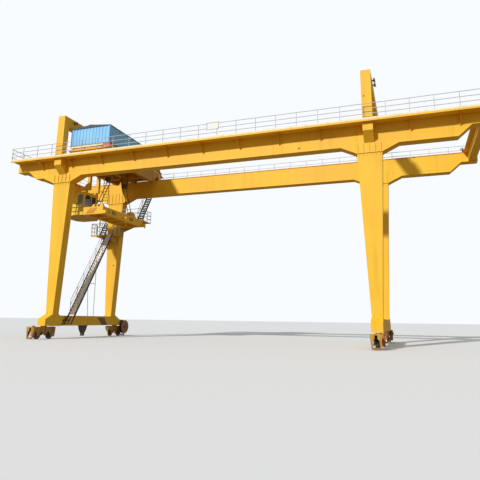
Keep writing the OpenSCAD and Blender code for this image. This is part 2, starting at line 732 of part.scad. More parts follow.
// Double-flanged wheel with its axle, drawn about the X axis
module wheel_local(axle_end) {
    w = wheel_tread / 2;
    rotate([0, 90, 0]) rotate_extrude($fn = 72) polygon([
        [0, -w - 20], [110, -w - 20], [110, -w + 10], [wheel_r - 60, -w + 10],
        [wheel_r - 60, -w - 22], [wheel_r + 22, -w - 22], [wheel_r + 30, -w - 10], [wheel_r + 4, -w],
        [wheel_r, -w + 6], [wheel_r, w - 6], [wheel_r + 4, w], [wheel_r + 30, w + 10],
        [wheel_r + 22, w + 22], [wheel_r - 60, w + 22], [wheel_r - 60, w - 10], [110, w - 10],
        [110, w + 20], [0, w + 20]]);
    rod_x(-plate_x - plate_t / 2 - 30, axle_end, 0, 0, 50);
}
module wheel(x_side, side, driven) {
    x = x_side < 0 ? x_left : x_right;
    end = plate_x + plate_t / 2 + (driven ? 130 : 30);
    color(dark_steel) translate([x, 0, 0]) to_x(x_side) on_side(side)
        translate([0, pin_y + (driven ? bogie_half : -bogie_half), wheel_z]) wheel_local(end);
}

// Trolley

axle_off = trolley_l / 2 - 480;
carriage_in = y_girder - 170;
module trolley_frame() {
    color(steel_yellow) translate([trolley_x, 0, 0]) {
        for (side = [-1, 1]) on_side(side) difference() {
            // carriage along each rail, open below for its wheels
            block([-trolley_l / 2, carriage_in, carriage_z], [trolley_l / 2, y_girder + 170, frame_z + eps]);
            for (x = [-axle_off, axle_off]) {
                block([x - trolley_wheel_r - 25, y_girder - 80, carriage_z - 1],
                      [x + trolley_wheel_r + 25, y_girder + 80, rail_z + 2 * trolley_wheel_r + 25]);
                translate([x, y_girder - 200, rail_z + trolley_wheel_r]) rotate([-90, 0, 0])
                    cylinder(h = 400, r = 40 + run, $fn = 32);
            }
        }
        // deck, and the band under the house
        block([-trolley_l / 2, -house_y / 2 + 30, frame_z], [trolley_l / 2, house_y / 2 - 30, frame_z + 50]);
        block([-house_x / 2 + 60, -house_y / 2 + 60, frame_z + 40],
              [house_x / 2 - 60, house_y / 2 - 60, house_z]);
    }
}
// Cross beams, deepened between the girders, with the bearers that carry the hoist's sheaves
cross_w = 300;
module hoist_beams() {
    color(steel_yellow) translate([trolley_x, 0, 0]) {
        for (x = [-trolley_l / 2, -cross_w / 2, trolley_l / 2 - cross_w])
            yz(x, x + cross_w) polygon([
                [-carriage_in, frame_z], [-carriage_in, frame_z - 380],
                [-leg_in + 250, frame_z - 380], [-leg_in + 650, bearer_z], [leg_in - 650, bearer_z],
                [leg_in - 250, frame_z - 380], [carriage_in, frame_z - 380], [carriage_in, frame_z]]);
        for (side = [-1, 1]) on_side(side) {
            block([-trolley_l / 2 + cross_w - eps, sheave_y - 110, bearer_z],
                  [trolley_l / 2 - cross_w + eps, sheave_y + 110, bearer_z + 420]);
            xz(sheave_y - 60, sheave_y + 60) polygon([[-430, bearer_z + eps], [430, bearer_z + eps],
                                                      [240, sheave_z], [-240, sheave_z]]);
        }
    }
}

module trolley_wheels() {
    color(dark_steel) translate([trolley_x, 0, 0])
        for (side = [-1, 1], x = [-axle_off, axle_off]) on_side(side)
            translate([x, y_girder, rail_z + trolley_wheel_r]) rotate([-90, 0, 0]) {
                cylinder(h = 76, r = trolley_wheel_r - rail_gap, center = true, $fn = 48);
                for (s = [-1, 1]) translate([0, 0, s * 44]) cylinder(h = 18, r = trolley_wheel_r + 18, center = true, $fn = 48);
                cylinder(h = 390, r = 40, center = true, $fn = 32);
            }
}

// Outline of the ribbed sheeting: one side from its sunk corner, with ribs standing out
function side_points(from, dir, out, len_s) =
    let (n = round(len_s / rib_pitch), p = len_s / n)
    concat([from + dir * rib_d - out * rib_d],
        [for (k = [0 : n - 1], q = [[0.24, 0], [0.36, 1], [0.64, 1], [0.76, 0]])
            from + dir * (k + q[0]) * p - out * rib_d * (1 - q[1])]);
house_corner = [house_x / 2, house_y / 2];
house_outline = concat(
    side_points([-house_corner[0], -house_corner[1]], [1, 0], [0, -1], house_x),
    side_points([house_corner[0], -house_corner[1]], [0, 1], [1, 0], house_y),
    side_points([house_corner[0], house_corner[1]], [-1, 0], [0, 1], house_x),
    side_points([-house_corner[0], house_corner[1]], [0, -1], [-1, 0], house_y)
);
module house_walls() {
    color([0.36, 0.66, 0.86]) translate([trolley_x, 0, house_z])
        linear_extrude(house_h) polygon(house_outline);
}
// Low gabled roof with a flat underside, just clear of the saddle frames
module house_roof() {
    over = 40;
    eave = 25;
    edge = house_x / 2 + over;
    top = house_z + house_h;
    color([0.12, 0.14, 0.17]) translate([trolley_x, 0, 0])
        xz(-house_y / 2 - over, house_y / 2 + over) polygon([
            [-edge, top], [edge, top], [edge, top + eave], [0, top + eave + house_rise], [-edge, top + eave]]);
}

// Cab

cab_x1 = x_left + 440;
cab_x0 = cab_x1 - cab_x;
cab_y0 = -leg_in + 1650;
cab_y1 = cab_y0 + cab_y;
cab_z0 = 9580;
cab_z1 = cab_z0 + cab_h;
roof_t = 50;
seat = 0.3;

// Two bent frames hang from the trolley's left cross beam and reach out over the cab's roof
hang_w = 240;
hang_x = trolley_x - trolley_l / 2;
hang_y = [cab_y0 + 380, cab_y1 - 80];
arm_z = cab_z1 + 310;
arm_h = 300;
arm_x0 = cab_x0 - 215;
module cab_hanger() {
    color(steel_yellow) {
        for (y = hang_y) {
            xz(y, y + hang_w) polygon([
                [arm_x0, arm_z], [hang_x + hang_w, arm_z], [hang_x + hang_w, bearer_z - seat],
                [hang_x, bearer_z - seat], [hang_x, arm_z + arm_h + 280], [hang_x - 280, arm_z + arm_h],
                [arm_x0, arm_z + arm_h]]);
            // stools that the cab's roof hangs from
            for (x = [cab_x0 + 80, cab_x1 - 230])
                block([x, y, cab_z1 + roof_t], [x + 150, y + hang_w / 2, arm_z + eps]);
        }
        // posts that carry the gallery behind the cab
        for (x = [cab_x0 - 80, cab_x1 - 100])
            block([x, hang_y[1] + hang_w - 80, cab_z0], [x + 100, hang_y[1] + hang_w, arm_z + eps]);
    }
}

// Panes as their two sides, sill and head
near_pane = [cab_x1 - 615, cab_x1 - 115, cab_z0 + 1000, cab_z0 + 1810];
side_pane = [cab_y0 + 960, cab_y0 + 1500, cab_z0 + 1000, cab_z0 + 1810];
left_pane = [cab_y0 + 200, cab_y0 + 900, cab_z0 + 950, cab_z0 + 1780];
module pane(p) {
    polygon([[p[0], p[2]], [p[1], p[2]], [p[1], p[3]], [p[0], p[3]]]);
}
// Round-topped pane beside the driver, with its arcs as points
module arched_pane() {
    a = cab_y0 + 110;
    b = cab_y0 + 880;
    z1 = cab_z0 + 1840;
    r = 330;
    polygon(concat([[a, cab_z0 + 940], [b, cab_z0 + 940]],
        [for (t = [0 : 15 : 90]) [b - r + r * cos(t), z1 - r + r * sin(t)]],
        [for (t = [90 : 15 : 180]) [a + r + r * cos(t), z1 - r + r * sin(t)]]));
}
// All panes as slabs, set in from the walls' outer faces and of a given thickness
module panes(inset, t) {
    xz(cab_y0 + inset, cab_y0 + inset + t) pane(near_pane);
    yz(cab_x0 + inset, cab_x0 + inset + t) pane(left_pane);
    yz(cab_x1 - inset - t, cab_x1 - inset) {
        pane(side_pane);
        arched_pane();
    }
}

module cab_shell() {
    color([0.97, 0.76, 0.1]) difference() {
        block([cab_x0, cab_y0, cab_z0], [cab_x1, cab_y1, cab_z1]);
        block([cab_x0 + cab_t, cab_y0 + cab_t, cab_z0 + 60], [cab_x1 - cab_t, cab_y1 - cab_t, cab_z1 + 1]);
        panes(-1, cab_t + 2);
        // doorway in the far face
        block([cab_x0 + 180, cab_y1 - cab_t - 1, cab_z0 + 60], [cab_x0 + 830, cab_y1 + 1, cab_z0 + 1850]);
    }
}
module cab_glass() {
    color([0.2, 0.25, 0.27, 0.6]) panes(cab_t / 2 - 4, 8);
}
module cab_roof() {
    color(steel_yellow)
        block([cab_x0 - 60, cab_y0 - 60, cab_z1], [cab_x1 + 60, cab_y1 + 60, cab_z1 + roof_t]);
}

// Plate that the cab stands on, with its far corners cut off
gallery_x0 = cab_x0 - 420;
gallery_x1 = cab_x1 + 380;
gallery_y0 = cab_y0 - 450;
gallery_y1 = cab_y1 + 300;
gallery_cut = 400;
module gallery() {
    color([0.8, 0.57, 0.12]) translate([0, 0, cab_z0 - 70]) linear_extrude(70) polygon([
        [gallery_x0, gallery_y0], [gallery_x1, gallery_y0], [gallery_x1, gallery_y1 - gallery_cut],
        [gallery_x1 - gallery_cut, gallery_y1], [gallery_x0 + gallery_cut, gallery_y1],
        [gallery_x0, gallery_y1 - gallery_cut]]);
}
module gallery_railing() {
    b = bar / 2;
    posts_x = [for (k = [0 : 3]) gallery_x0 + b + k * (gallery_x1 - gallery_x0 - bar) / 3];
    side_l = gallery_y1 - gallery_cut - gallery_y0;
    color([0.62, 0.62, 0.6]) {
        railing_x(gallery_x0, gallery_x1, gallery_y0 + b, cab_z0, posts_x);
        for (x = [gallery_x0 + b, gallery_x1 - b])
            railing_y(gallery_y0 + b, gallery_y1 - gallery_cut, x, cab_z0,
                      [gallery_y0 + side_l / 2, gallery_y1 - gallery_cut - b]);
        railing_x(gallery_x0 + gallery_cut, gallery_x1 - gallery_cut, gallery_y1 - b, cab_z0,
                  [gallery_x0 + gallery_cut + b, gallery_x1 - gallery_cut - b]);
    }
}

// Rung ladder from the trolley's deck down beside the cab's hanger
module trolley_ladder() {
    x0 = hang_x + 415;
    w = 560;
    y = 300;
    z0 = 10900;
    z1 = frame_z - seat;
    post_y = hang_y[1] + hang_w / 2;
    color(steel_yellow) {
        for (x = [x0, x0 + w - 40])
            block([x, y - 25, z0], [x + 40, y + 25, z1]);
        for (z = [z0 + 120 : 260 : z1 - 60])
            block([x0 + 40 - eps, y - 16, z], [x0 + w - 40 + eps, y + 16, z + 32]);
        // arms to the cross beam and to the hanger's post
        for (z = [bearer_z + 100, bearer_z + 600])
            block([hang_x + cross_w, y - 20, z], [x0 + eps, y + 20, z + 60]);
        block([hang_x + hang_w, post_y - 20, arm_z + 100], [x0 + 40, post_y + 20, arm_z + 160]);
        block([x0, post_y, arm_z + 100], [x0 + 40, y - 25 + eps, arm_z + 160]);
    }
}

// Hoist and spreader

spreader_h = 590;
spreader_top = spreader_z + spreader_h;
bearer_z = rail_z - 480;
sheave_z = bearer_z - 840;
sheave_y = 1150;
rope_top = sheave_z - seat;
rope_foot_y = 2300;
rope_foot = spreader_top + 330 + seat;
rope_r = 22;
rope_x = 150;
// Falls of rope from the sheaves out to the spreader, cut level at both ends
module hoist_ropes() {
    color([0.1, 0.1, 0.1]) translate([trolley_x, 0, 0])
        for (x = [-rope_x, rope_x], side = [-1, 1]) on_side(side)
            yz(x - rope_r, x + rope_r) polygon([
                [sheave_y - rope_r, rope_top], [rope_foot_y - rope_r, rope_foot],
                [rope_foot_y + rope_r, rope_foot], [sheave_y + rope_r, rope_top]]);
}

beam_out = 900;
beam_in = 640;
beam_end = lock_y / 2 + 15;
module spreader() {
    color([0.85, 0.6, 0.12]) translate([trolley_x, 0, 0]) {
        for (s = [-1, 1]) {
            // deep beam along the rails, with a hinged guide arm at its middle
            to_x(s) {
                block([beam_in, -beam_end, spreader_z], [beam_out, beam_end, spreader_top]);
                block([beam_out - eps, -250, spreader_z + 150], [1270, -150, spreader_z + 250]);
                block([1240, -250, spreader_z - 500], [1270, -150, spreader_z + 150 + eps]);
            }
            // end beam, and short low arms out to the twistlocks
            on_side(s) {
                block([-beam_in - eps, beam_end - 260, spreader_z], [beam_in + eps, beam_end, spreader_top]);
                for (t = [-1, 1]) to_x(t)
                    block([beam_out - eps, lock_y / 2 - 145, spreader_z],
                          [lock_x / 2 + 60, lock_y / 2 + 58, spreader_z + 250]);
            }
        }
        // cross members, top plate, the rope's housings and the motor's hood
        for (y = [-1300, -150, 1000])
            block([-beam_in - eps, y, spreader_z + 80], [beam_in + eps, y + 300, spreader_top - 40]);
        block([-beam_in - 60, -beam_end + 200, spreader_top - eps], [beam_in + 60, beam_end - 200, spreader_top + 50]);
        for (s = [-1, 1]) on_side(s)
            xz(rope_foot_y - 110, rope_foot_y + 110) polygon([
                [-600, spreader_top + 50 - eps], [600, spreader_top + 50 - eps],
                [420, spreader_top + 330], [-420, spreader_top + 330]]);
        yz(130, 650) polygon([[1350, spreader_top + 50 - eps], [2120, spreader_top + 50 - eps],
            [2060, spreader_top + 340], [1680, spreader_top + 520], [1500, spreader_top + 420]]);
    }
}

module twistlocks() {
    color(dark_steel) translate([trolley_x, 0, 0])
        for (sx = [-1, 1], sy = [-1, 1])
            translate([sx * lock_x / 2, sy * lock_y / 2, spreader_z]) {
                translate([0, 0, -70]) cylinder(h = 70, r = lock_r, $fn = 32);
                translate([0, 0, -70]) rotate([180, 0, 0]) linear_extrude(45)
                    polygon([[-50, -26], [50, -26], [50, 26], [-50, 26]]);
            }
}

// The pieces by name

girder(-1);  // girder_near
girder(1);  // girder_far
trolley_rails();
rail_stops();
end_ties();
walkway(-1);  // walkway_near
walkway(1);  // walkway_far
end_walkways();
railing(-1);  // railing_near
railing(1);  // railing_far
end_railings();
board();
leg(x_left, -1);  // leg_near_left
leg(x_left, 1);  // leg_far_left
leg(x_right, -1);  // leg_near_right
leg(x_right, 1);  // leg_far_right
saddle(x_left);  // saddle_left
saddle(x_right);  // saddle_right
sill(x_left);  // sill_left
sill(x_right);  // sill_right
rail_clamps();
stair();
stair_treads();
stair_rails();
landings();
landing_railings();
upper_stairs();
upper_treads();
cable_reel();
bogie(-1, -1);  // bogie_near_left
bogie(-1, 1);  // bogie_far_left
bogie(1, -1);  // bogie_near_right
bogie(1, 1);  // bogie_far_right
drive(-1, -1);  // drive_near_left
drive(-1, 1);  // drive_far_left
drive(1, -1);  // drive_near_right
drive(1, 1);  // drive_far_right
wheel(-1, -1, true);  // driven_wheel_near_left
wheel(-1, 1, true);  // driven_wheel_far_left
wheel(1, -1, true);  // driven_wheel_near_right
wheel(1, 1, true);  // driven_wheel_far_right
wheel(-1, -1, false);  // idle_wheel_near_left
wheel(-1, 1, false);  // idle_wheel_far_left
wheel(1, -1, false);  // idle_wheel_near_right
wheel(1, 1, false);  // idle_wheel_far_right
trolley_frame();
hoist_beams();
trolley_wheels();
house_walls();
house_roof();
cab_hanger();
cab_shell();
cab_glass();
cab_roof();
gallery();
gallery_railing();
trolley_ladder();
hoist_ropes();
spreader();
twistlocks();
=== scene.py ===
import json
import math

import bmesh
import bpy
from mathutils import Matrix, Vector


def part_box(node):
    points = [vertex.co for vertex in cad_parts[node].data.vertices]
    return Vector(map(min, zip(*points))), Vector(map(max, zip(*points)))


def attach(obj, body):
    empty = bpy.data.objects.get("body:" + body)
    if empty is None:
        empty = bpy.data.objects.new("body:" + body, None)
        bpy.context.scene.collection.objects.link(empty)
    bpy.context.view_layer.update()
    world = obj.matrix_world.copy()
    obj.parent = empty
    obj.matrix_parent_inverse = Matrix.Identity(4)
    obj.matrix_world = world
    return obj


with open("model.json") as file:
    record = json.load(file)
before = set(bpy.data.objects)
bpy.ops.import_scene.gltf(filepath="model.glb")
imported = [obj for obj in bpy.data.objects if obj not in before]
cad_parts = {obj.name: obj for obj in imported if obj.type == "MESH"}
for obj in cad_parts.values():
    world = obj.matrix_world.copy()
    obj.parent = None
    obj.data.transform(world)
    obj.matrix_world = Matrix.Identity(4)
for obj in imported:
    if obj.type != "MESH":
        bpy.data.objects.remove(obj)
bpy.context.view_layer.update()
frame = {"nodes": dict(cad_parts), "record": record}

nodes = frame["nodes"]
materialsMade = {}


# Camera, floor and light

cameraView = {
    "eye": (12.30, -33.41, 1.54),    # metres, about eye height in the yard
    "turn": 19.48,                   # degrees to the left of +Y
    "tilt": 12.39,                   # degrees above the horizon
    "roll": 0.75,
    "focus": 481.6,                  # focal length in pixels of a 480 pixel frame
    "middle": (240.9, 213.7),        # pixel that the lens looks at
    "frameSize": 480,
}


def placeCamera(look):
    size = look["frameSize"]
    lens = bpy.data.cameras.new("yardCamera")
    lens.sensor_fit = "HORIZONTAL"
    lens.sensor_width = 36
    lens.lens = look["focus"] / size * lens.sensor_width
    lens.shift_x = (size / 2 - look["middle"][0]) / size
    lens.shift_y = (look["middle"][1] - size / 2) / size
    lens.clip_start = 0.1
    lens.clip_end = 2000
    camera = bpy.data.objects.new("yardCamera", lens)
    bpy.context.scene.collection.objects.link(camera)
    camera.matrix_world = (Matrix.Translation(look["eye"])
                           @ Matrix.Rotation(math.radians(look["turn"]), 4, "Z")
                           @ Matrix.Rotation(math.radians(90 + look["tilt"]), 4, "X")
                           @ Matrix.Rotation(math.radians(look["roll"]), 4, "Z"))
    bpy.context.scene.camera = camera


daylight = {
    "sunFrom": (-0.30, -0.81, 0.50),   # low from the near left: the walkways shade half the webs
    "sunStrength": 3.0,
    "sunAngle": 3,                     # degrees, slightly soft shadows
    "skyFill": 0.43,                   # light from all round
    "skyGloss": 0.25,                  # how much of the bright sky is mirrored in the paint
    "skyColour": (0.94, 0.97, 1.0),
    "floorSize": 900,
    "floorColour": (0.83, 0.83, 0.82),
    "floorBounce": (0.26, 0.22, 0.15),  # what the floor gives back to the crane
}


def placeLight(look):
    sun = bpy.data.lights.new("keySun", "SUN")
    sun.energy = look["sunStrength"]
    sun.angle = math.radians(look["sunAngle"])
    lamp = bpy.data.objects.new("keySun", sun)
    bpy.context.scene.collection.objects.link(lamp)
    lamp.rotation_euler = Vector(look["sunFrom"]).to_track_quat("Z", "Y").to_euler()
    world = bpy.data.worlds.new("studioSky")
    bpy.context.scene.world = world
    world.use_nodes = True
    tree = world.node_tree
    back = tree.nodes["Background"]
    back.inputs["Color"].default_value = (*look["skyColour"], 1)
    ray = tree.nodes.new("ShaderNodeLightPath")
    seen = Wire(tree, ray.outputs["Is Camera Ray"])
    glossy = Wire(tree, ray.outputs["Is Glossy Ray"])
    through = Wire(tree, ray.outputs["Is Transmission Ray"])
    shown = (seen + glossy * look["skyGloss"] + through).clamped()
    strength = shown * (1 - look["skyFill"]) + look["skyFill"]
    tree.links.new(strength.socket, back.inputs["Strength"])


def placeFloor(look):
    bpy.ops.mesh.primitive_plane_add(size=look["floorSize"], location=(0, 0, 0))
    floor = bpy.context.object
    floor.name = "paleFloor"
    ground = Finish("floorFinish")
    seen = ground.node("ShaderNodeLightPath", output="Is Camera Ray")
    ground.shade("Base Color", ground.mix(seen, look["floorBounce"], look["floorColour"]))
    ground.shade("Roughness", 0.9)
    floor.data.materials.append(ground.material)


# Shader tools: Wire holds one socket, Finish holds one material

class Wire:
    def __init__(self, tree, socket):
        self.tree = tree
        self.socket = socket

    def maths(self, operation, *values):
        step = self.tree.nodes.new("ShaderNodeMath")
        step.operation = operation
        for place, value in enumerate(values):
            if isinstance(value, Wire):
                self.tree.links.new(value.socket, step.inputs[place])
            else:
                step.inputs[place].default_value = value
        return Wire(self.tree, step.outputs[0])

    def __add__(self, other):
        return self.maths("ADD", self, other)

    def __sub__(self, other):
        return self.maths("SUBTRACT", self, other)

    def __rsub__(self, other):
        return self.maths("SUBTRACT", other, self)

    def __mul__(self, other):
        return self.maths("MULTIPLY", self, other)

    __radd__ = __add__
    __rmul__ = __mul__

    def clamped(self):
        return self.maths("MINIMUM", self.maths("MAXIMUM", self, 0.0), 1.0)

    def between(self, low, high):
        # 0 at low and below, 1 at high and above
        return ((self - low) * (1 / (high - low))).clamped()

    def fromMiddle(self, pitch):
        # 0 at each multiple of pitch, up to a half between them
        steps = self.maths("FRACT", self * (1 / pitch) + 0.5)
        return self.maths("ABSOLUTE", steps - 0.5)


class Finish:
    def __init__(self, name):
        self.material = bpy.data.materials.new(name)
        self.material.use_nodes = True
        self.tree = self.material.node_tree
        self.tree.nodes.clear()
        self.shader = self.node("ShaderNodeBsdfPrincipled").socket.node
        surface = Wire(self.tree, self.shader.outputs[0])
        self.node("ShaderNodeOutputMaterial", inputs={"Surface": surface}, output=None)
        self.place = self.node("ShaderNodeTexCoord", output="Object")

    def node(self, kind, settings=None, inputs=None, output=0):
        made = self.tree.nodes.new(kind)
        for key, value in (settings or {}).items():
            setattr(made, key, value)
        for key, value in (inputs or {}).items():
            if isinstance(value, Wire):
                self.tree.links.new(value.socket, made.inputs[key])
            else:
                made.inputs[key].default_value = value
        return made if output is None else Wire(self.tree, made.outputs[output])

    def shade(self, key, value):
        if isinstance(value, Wire):
            self.tree.links.new(value.socket, self.shader.inputs[key])
        else:
            self.shader.inputs[key].default_value = value

    def along(self, axis):
        return self.node("ShaderNodeSeparateXYZ", inputs={"Vector": self.place}, output=axis)

    def noise(self, scale, detail, stretch=(1, 1, 1)):
        spread = self.node("ShaderNodeMapping", inputs={"Vector": self.place, "Scale": stretch})
        return self.node("ShaderNodeTexNoise", inputs={"Vector": spread, "Scale": scale, "Detail": detail})

    def mix(self, share, first, second):
        colours = [c if isinstance(c, Wire) else (*c, 1) for c in (first, second)]
        return self.node("ShaderNodeMix", {"data_type": "RGBA"},
                         {0: share, 6: colours[0], 7: colours[1]}, output=2)

    def bump(self, height, distance, strength):
        bent = self.node("ShaderNodeBump", inputs={"Height": height, "Distance": distance,
                                                   "Strength": strength})
        self.shade("Normal", bent)


# Finishes

def weatheredPaint(name, look):
    # paint on steel that has faded in clouds, run with dirt and begun to rust
    paint = Finish(name)
    cloud = paint.noise(look["cloudScale"], 4)
    runs = paint.noise(look["runScale"], 5, (1, 1, 0.06))
    chips = paint.noise(look["chipScale"], 7)
    faded = cloud.between(0.36, 0.66) * look["fading"]
    dirty = runs.between(0.50, 0.74) * look["runs"]
    rusty = (chips + runs * 0.25).between(look["rustFrom"], look["rustFrom"] + 0.035)
    colour = paint.mix(faded, look["paint"], look["faded"])
    colour = paint.mix(dirty, colour, look["dirt"])
    if "apart" in look:
        # one stretch of the piece in another paint
        spot = look["apart"]
        share = paint.along(spot["axis"]).maths("ABSOLUTE").between(spot["from"], spot["to"])
        colour = paint.mix(share, colour, spot["paint"])
    if "lowDirt" in look:
        low = 1 - paint.along("Z").between(0, look["lowDirt"])
        colour = paint.mix(low * (cloud * 0.8 + 0.25).clamped(), colour, look["dirt"])
    colour = paint.mix(rusty, colour, look["rust"])
    height = cloud * 0.6 + chips * 0.12
    if "seamPitch" in look:
        # butt welds between plates
        seam = 1 - paint.along("X").fromMiddle(look["seamPitch"]).between(0, 0.03 / look["seamPitch"])
        colour = paint.mix(seam * 0.35, colour, look["dirt"])
        height = height + seam * 0.5
    paint.shade("Base Color", colour)
    paint.shade("Roughness", (cloud * 0.22 + dirty * 0.2 + rusty * 0.35 + look["roughness"]).clamped())
    paint.bump(height, 0.012, 0.35)
    return paint.material


yellow = {
    "paint": (0.86, 0.46, 0.007), "faded": (0.92, 0.545, 0.020), "dirt": (0.38, 0.18, 0.018),
    "rust": (0.25, 0.09, 0.03), "cloudScale": 0.35, "fading": 0.7, "runScale": 2.6, "runs": 0.16,
    "chipScale": 2.2, "rustFrom": 0.86, "roughness": 0.50,
}


def repaint(paint, faded, dirt, **other):
    # the crane's paint in other colours
    return {**yellow, "paint": paint, "faded": faded, "dirt": dirt, **other}


plainFinishes = {
    "crane_yellow": yellow,
    # brighter than the crane's yellow: partly the cab's own paint and partly painted light, standing in for
    # sun on the cab's near face where the near-left leg shades it
    "cab_yellow": repaint((0.98, 0.70, 0.012), (0.98, 0.74, 0.04), yellow["dirt"], runs=0.22,
                          cloudScale=1.4, rustFrom=0.88),
    "platform_yellow": repaint((0.62, 0.34, 0.035), (0.70, 0.42, 0.08), yellow["dirt"], runs=0.5,
                               seamPitch=1.5),
    "bogie_yellow": repaint((0.52, 0.27, 0.03), (0.66, 0.38, 0.06), (0.10, 0.05, 0.02), runs=0.7,
                            lowDirt=0.9, cloudScale=2.0, runScale=6.0, rustFrom=0.78,
                            apart={"axis": "Y", "from": 5.70, "to": 5.72, "paint": (0.88, 0.60, 0.14)}),
    "reel_yellow": repaint((0.30, 0.13, 0.04), (0.38, 0.18, 0.06), (0.10, 0.05, 0.02), runs=0.5,
                           cloudScale=2.5,
                           apart={"axis": "X", "from": 12.51, "to": 12.53, "paint": (0.84, 0.46, 0.03)}),
    "rail_grey": repaint((0.40, 0.41, 0.44), (0.56, 0.57, 0.60), (0.22, 0.19, 0.16), cloudScale=3.0),
    "stop_red": repaint((0.30, 0.065, 0.035), (0.42, 0.12, 0.07), (0.12, 0.05, 0.03), cloudScale=3.0),
    "drive_brown": repaint((0.47, 0.15, 0.045), (0.62, 0.25, 0.09), (0.10, 0.05, 0.03), runs=0.7,
                           cloudScale=4.0, runScale=9.0),
    "stair_dark": repaint((0.050, 0.035, 0.025), (0.09, 0.065, 0.045), (0.16, 0.12, 0.08), cloudScale=2.0),
    "board_white": repaint((0.78, 0.76, 0.70), (0.86, 0.85, 0.80), (0.45, 0.38, 0.28), runs=0.3,
                           rustFrom=0.9),
    "roof_dark": repaint((0.035, 0.045, 0.06), (0.07, 0.08, 0.10), (0.14, 0.13, 0.12), rustFrom=0.9),
    # pale cream: the house skirt's and the sill lip's own colour; on the kick strips it is a painted
    # highlight, for the bright sunlit line along the walkways' edges
    "creamAndHighlight": repaint((0.86, 0.74, 0.48), (0.90, 0.80, 0.58), (0.42, 0.28, 0.12), runs=0.35,
                         cloudScale=1.2),
    "frameCream": repaint((0.82, 0.72, 0.42), (0.86, 0.80, 0.60), (0.40, 0.30, 0.14), runs=0.2,
                          cloudScale=4.0),
    "guardPale": repaint((0.86, 0.72, 0.30), (0.90, 0.80, 0.46), (0.36, 0.22, 0.08), runs=0.5,
                         cloudScale=3.0, runScale=8.0),
    # darker blue for the corner flashings: partly their own colour and partly painted shade, for a post's
    # shadow along the near wall's left edge
    "cornerShadeBlue": repaint((0.10, 0.28, 0.62), (0.16, 0.36, 0.70), (0.06, 0.14, 0.30), runs=0.3,
                          cloudScale=2.0),
    # dark brown for the slanted band on the left sill
    "darkBrownBand": repaint((0.20, 0.09, 0.035), (0.30, 0.13, 0.045), (0.10, 0.05, 0.03), runs=0.5,
                         cloudScale=6.0, runScale=9.0),
    "stainedBrown": repaint((0.42, 0.19, 0.015), (0.62, 0.32, 0.03), (0.09, 0.05, 0.02), runs=0.8,
                            cloudScale=1.6, runScale=5.0, rustFrom=0.80),
    "orangeBand": repaint((0.62, 0.23, 0.012), (0.70, 0.31, 0.02), (0.30, 0.10, 0.02), runs=0.4,
                          cloudScale=3.0),
}

sheeting = {
    "paint": (0.20, 0.52, 0.86), "faded": (0.29, 0.62, 0.90), "dirt": (0.10, 0.26, 0.46),
    "washed": 0.6,
}


def coatedSheet(name, look):
    # profiled sheet with a thin coating, washed lighter in bands and darker at its foot
    sheet = Finish(name)
    broad = sheet.noise(0.8, 3)
    runs = sheet.noise(5.0, 4, (1, 1, 0.05))
    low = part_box("house_walls")[0].z
    foot = 1 - sheet.along("Z").between(low, low + 0.35)
    colour = sheet.mix(broad.between(0.35, 0.65) * look["washed"], look["paint"], look["faded"])
    colour = sheet.mix((runs.between(0.52, 0.75) * 0.3 + foot * 0.3).clamped(), colour, look["dirt"])
    sheet.shade("Base Color", colour)
    sheet.shade("Roughness", (broad * 0.2 + 0.32).clamped())
    sheet.bump(broad, 0.006, 0.3)
    return sheet.material


bareSteel = {
    "rail_steel": {"clean": (0.36, 0.33, 0.30), "rust": (0.17, 0.08, 0.045), "share": 0.75, "metal": 0.7},
    "wheel_steel": {"clean": (0.16, 0.15, 0.15), "rust": (0.09, 0.055, 0.04), "share": 0.6, "metal": 0.6},
    "dark_iron": {"clean": (0.10, 0.09, 0.085), "rust": (0.13, 0.07, 0.04), "share": 0.5, "metal": 0.4},
    # near white: partly the treads' own pale paint and partly painted light, standing in for sun on the
    # risers where the near-left leg shades the stair
    "tread_pale": {"clean": (0.97, 0.93, 0.84), "rust": (0.72, 0.62, 0.46), "share": 0.15, "metal": 0.05},
    "rope_steel": {"clean": (0.045, 0.045, 0.045), "rust": (0.09, 0.07, 0.055), "share": 0.5, "metal": 0.4},
    "bareBolt": {"clean": (0.40, 0.35, 0.27), "rust": (0.24, 0.12, 0.06), "share": 0.7, "metal": 0.6},
    "blackRubber": {"clean": (0.028, 0.027, 0.026), "rust": (0.075, 0.065, 0.055), "share": 0.6, "metal": 0},
    "lampBlack": {"clean": (0.035, 0.033, 0.033), "rust": (0.08, 0.06, 0.05), "share": 0.4, "metal": 0.2},
    "lampGlass": {"clean": (0.62, 0.66, 0.68), "rust": (0.42, 0.42, 0.40), "share": 0.5, "metal": 0.0},
}


def wornSteel(name, look):
    # steel that shows where it is rubbed, and is brown or greasy elsewhere
    steel = Finish(name)
    patches = steel.noise(5.0, 6)
    grain = steel.noise(40.0, 3)
    rusty = (patches * 0.8 + grain * 0.2).between(0.40, 0.62) * look["share"]
    steel.shade("Base Color", steel.mix(rusty, look["clean"], look["rust"]))
    steel.shade("Metallic", ((1 - rusty) * look["metal"]).clamped())
    steel.shade("Roughness", (rusty * 0.4 + grain * 0.15 + 0.32).clamped())
    steel.bump(grain + patches, 0.004, 0.4)
    return steel.material


def tintedGlass(name):
    glass = Finish(name)
    dust = glass.noise(3.0, 5)
    nearPaneReflection = 1 - glass.along("Y").between(-1.69, -1.66)    # the near pane: painted pale grey, a painted reflection of the bright sky and sun, and rougher and less clear with dust
    tint = glass.mix(dust.between(0.4, 0.8) * 0.5, (0.045, 0.045, 0.025), (0.16, 0.16, 0.12))
    glass.shade("Base Color", glass.mix(nearPaneReflection, tint, (0.30, 0.30, 0.29)))
    glass.shade("Roughness", (dust * 0.15 + nearPaneReflection * 0.2 + 0.04).clamped())
    glass.shade("Alpha", (dust * 0.2 + nearPaneReflection * 0.2 + 0.66).clamped())
    return glass.material


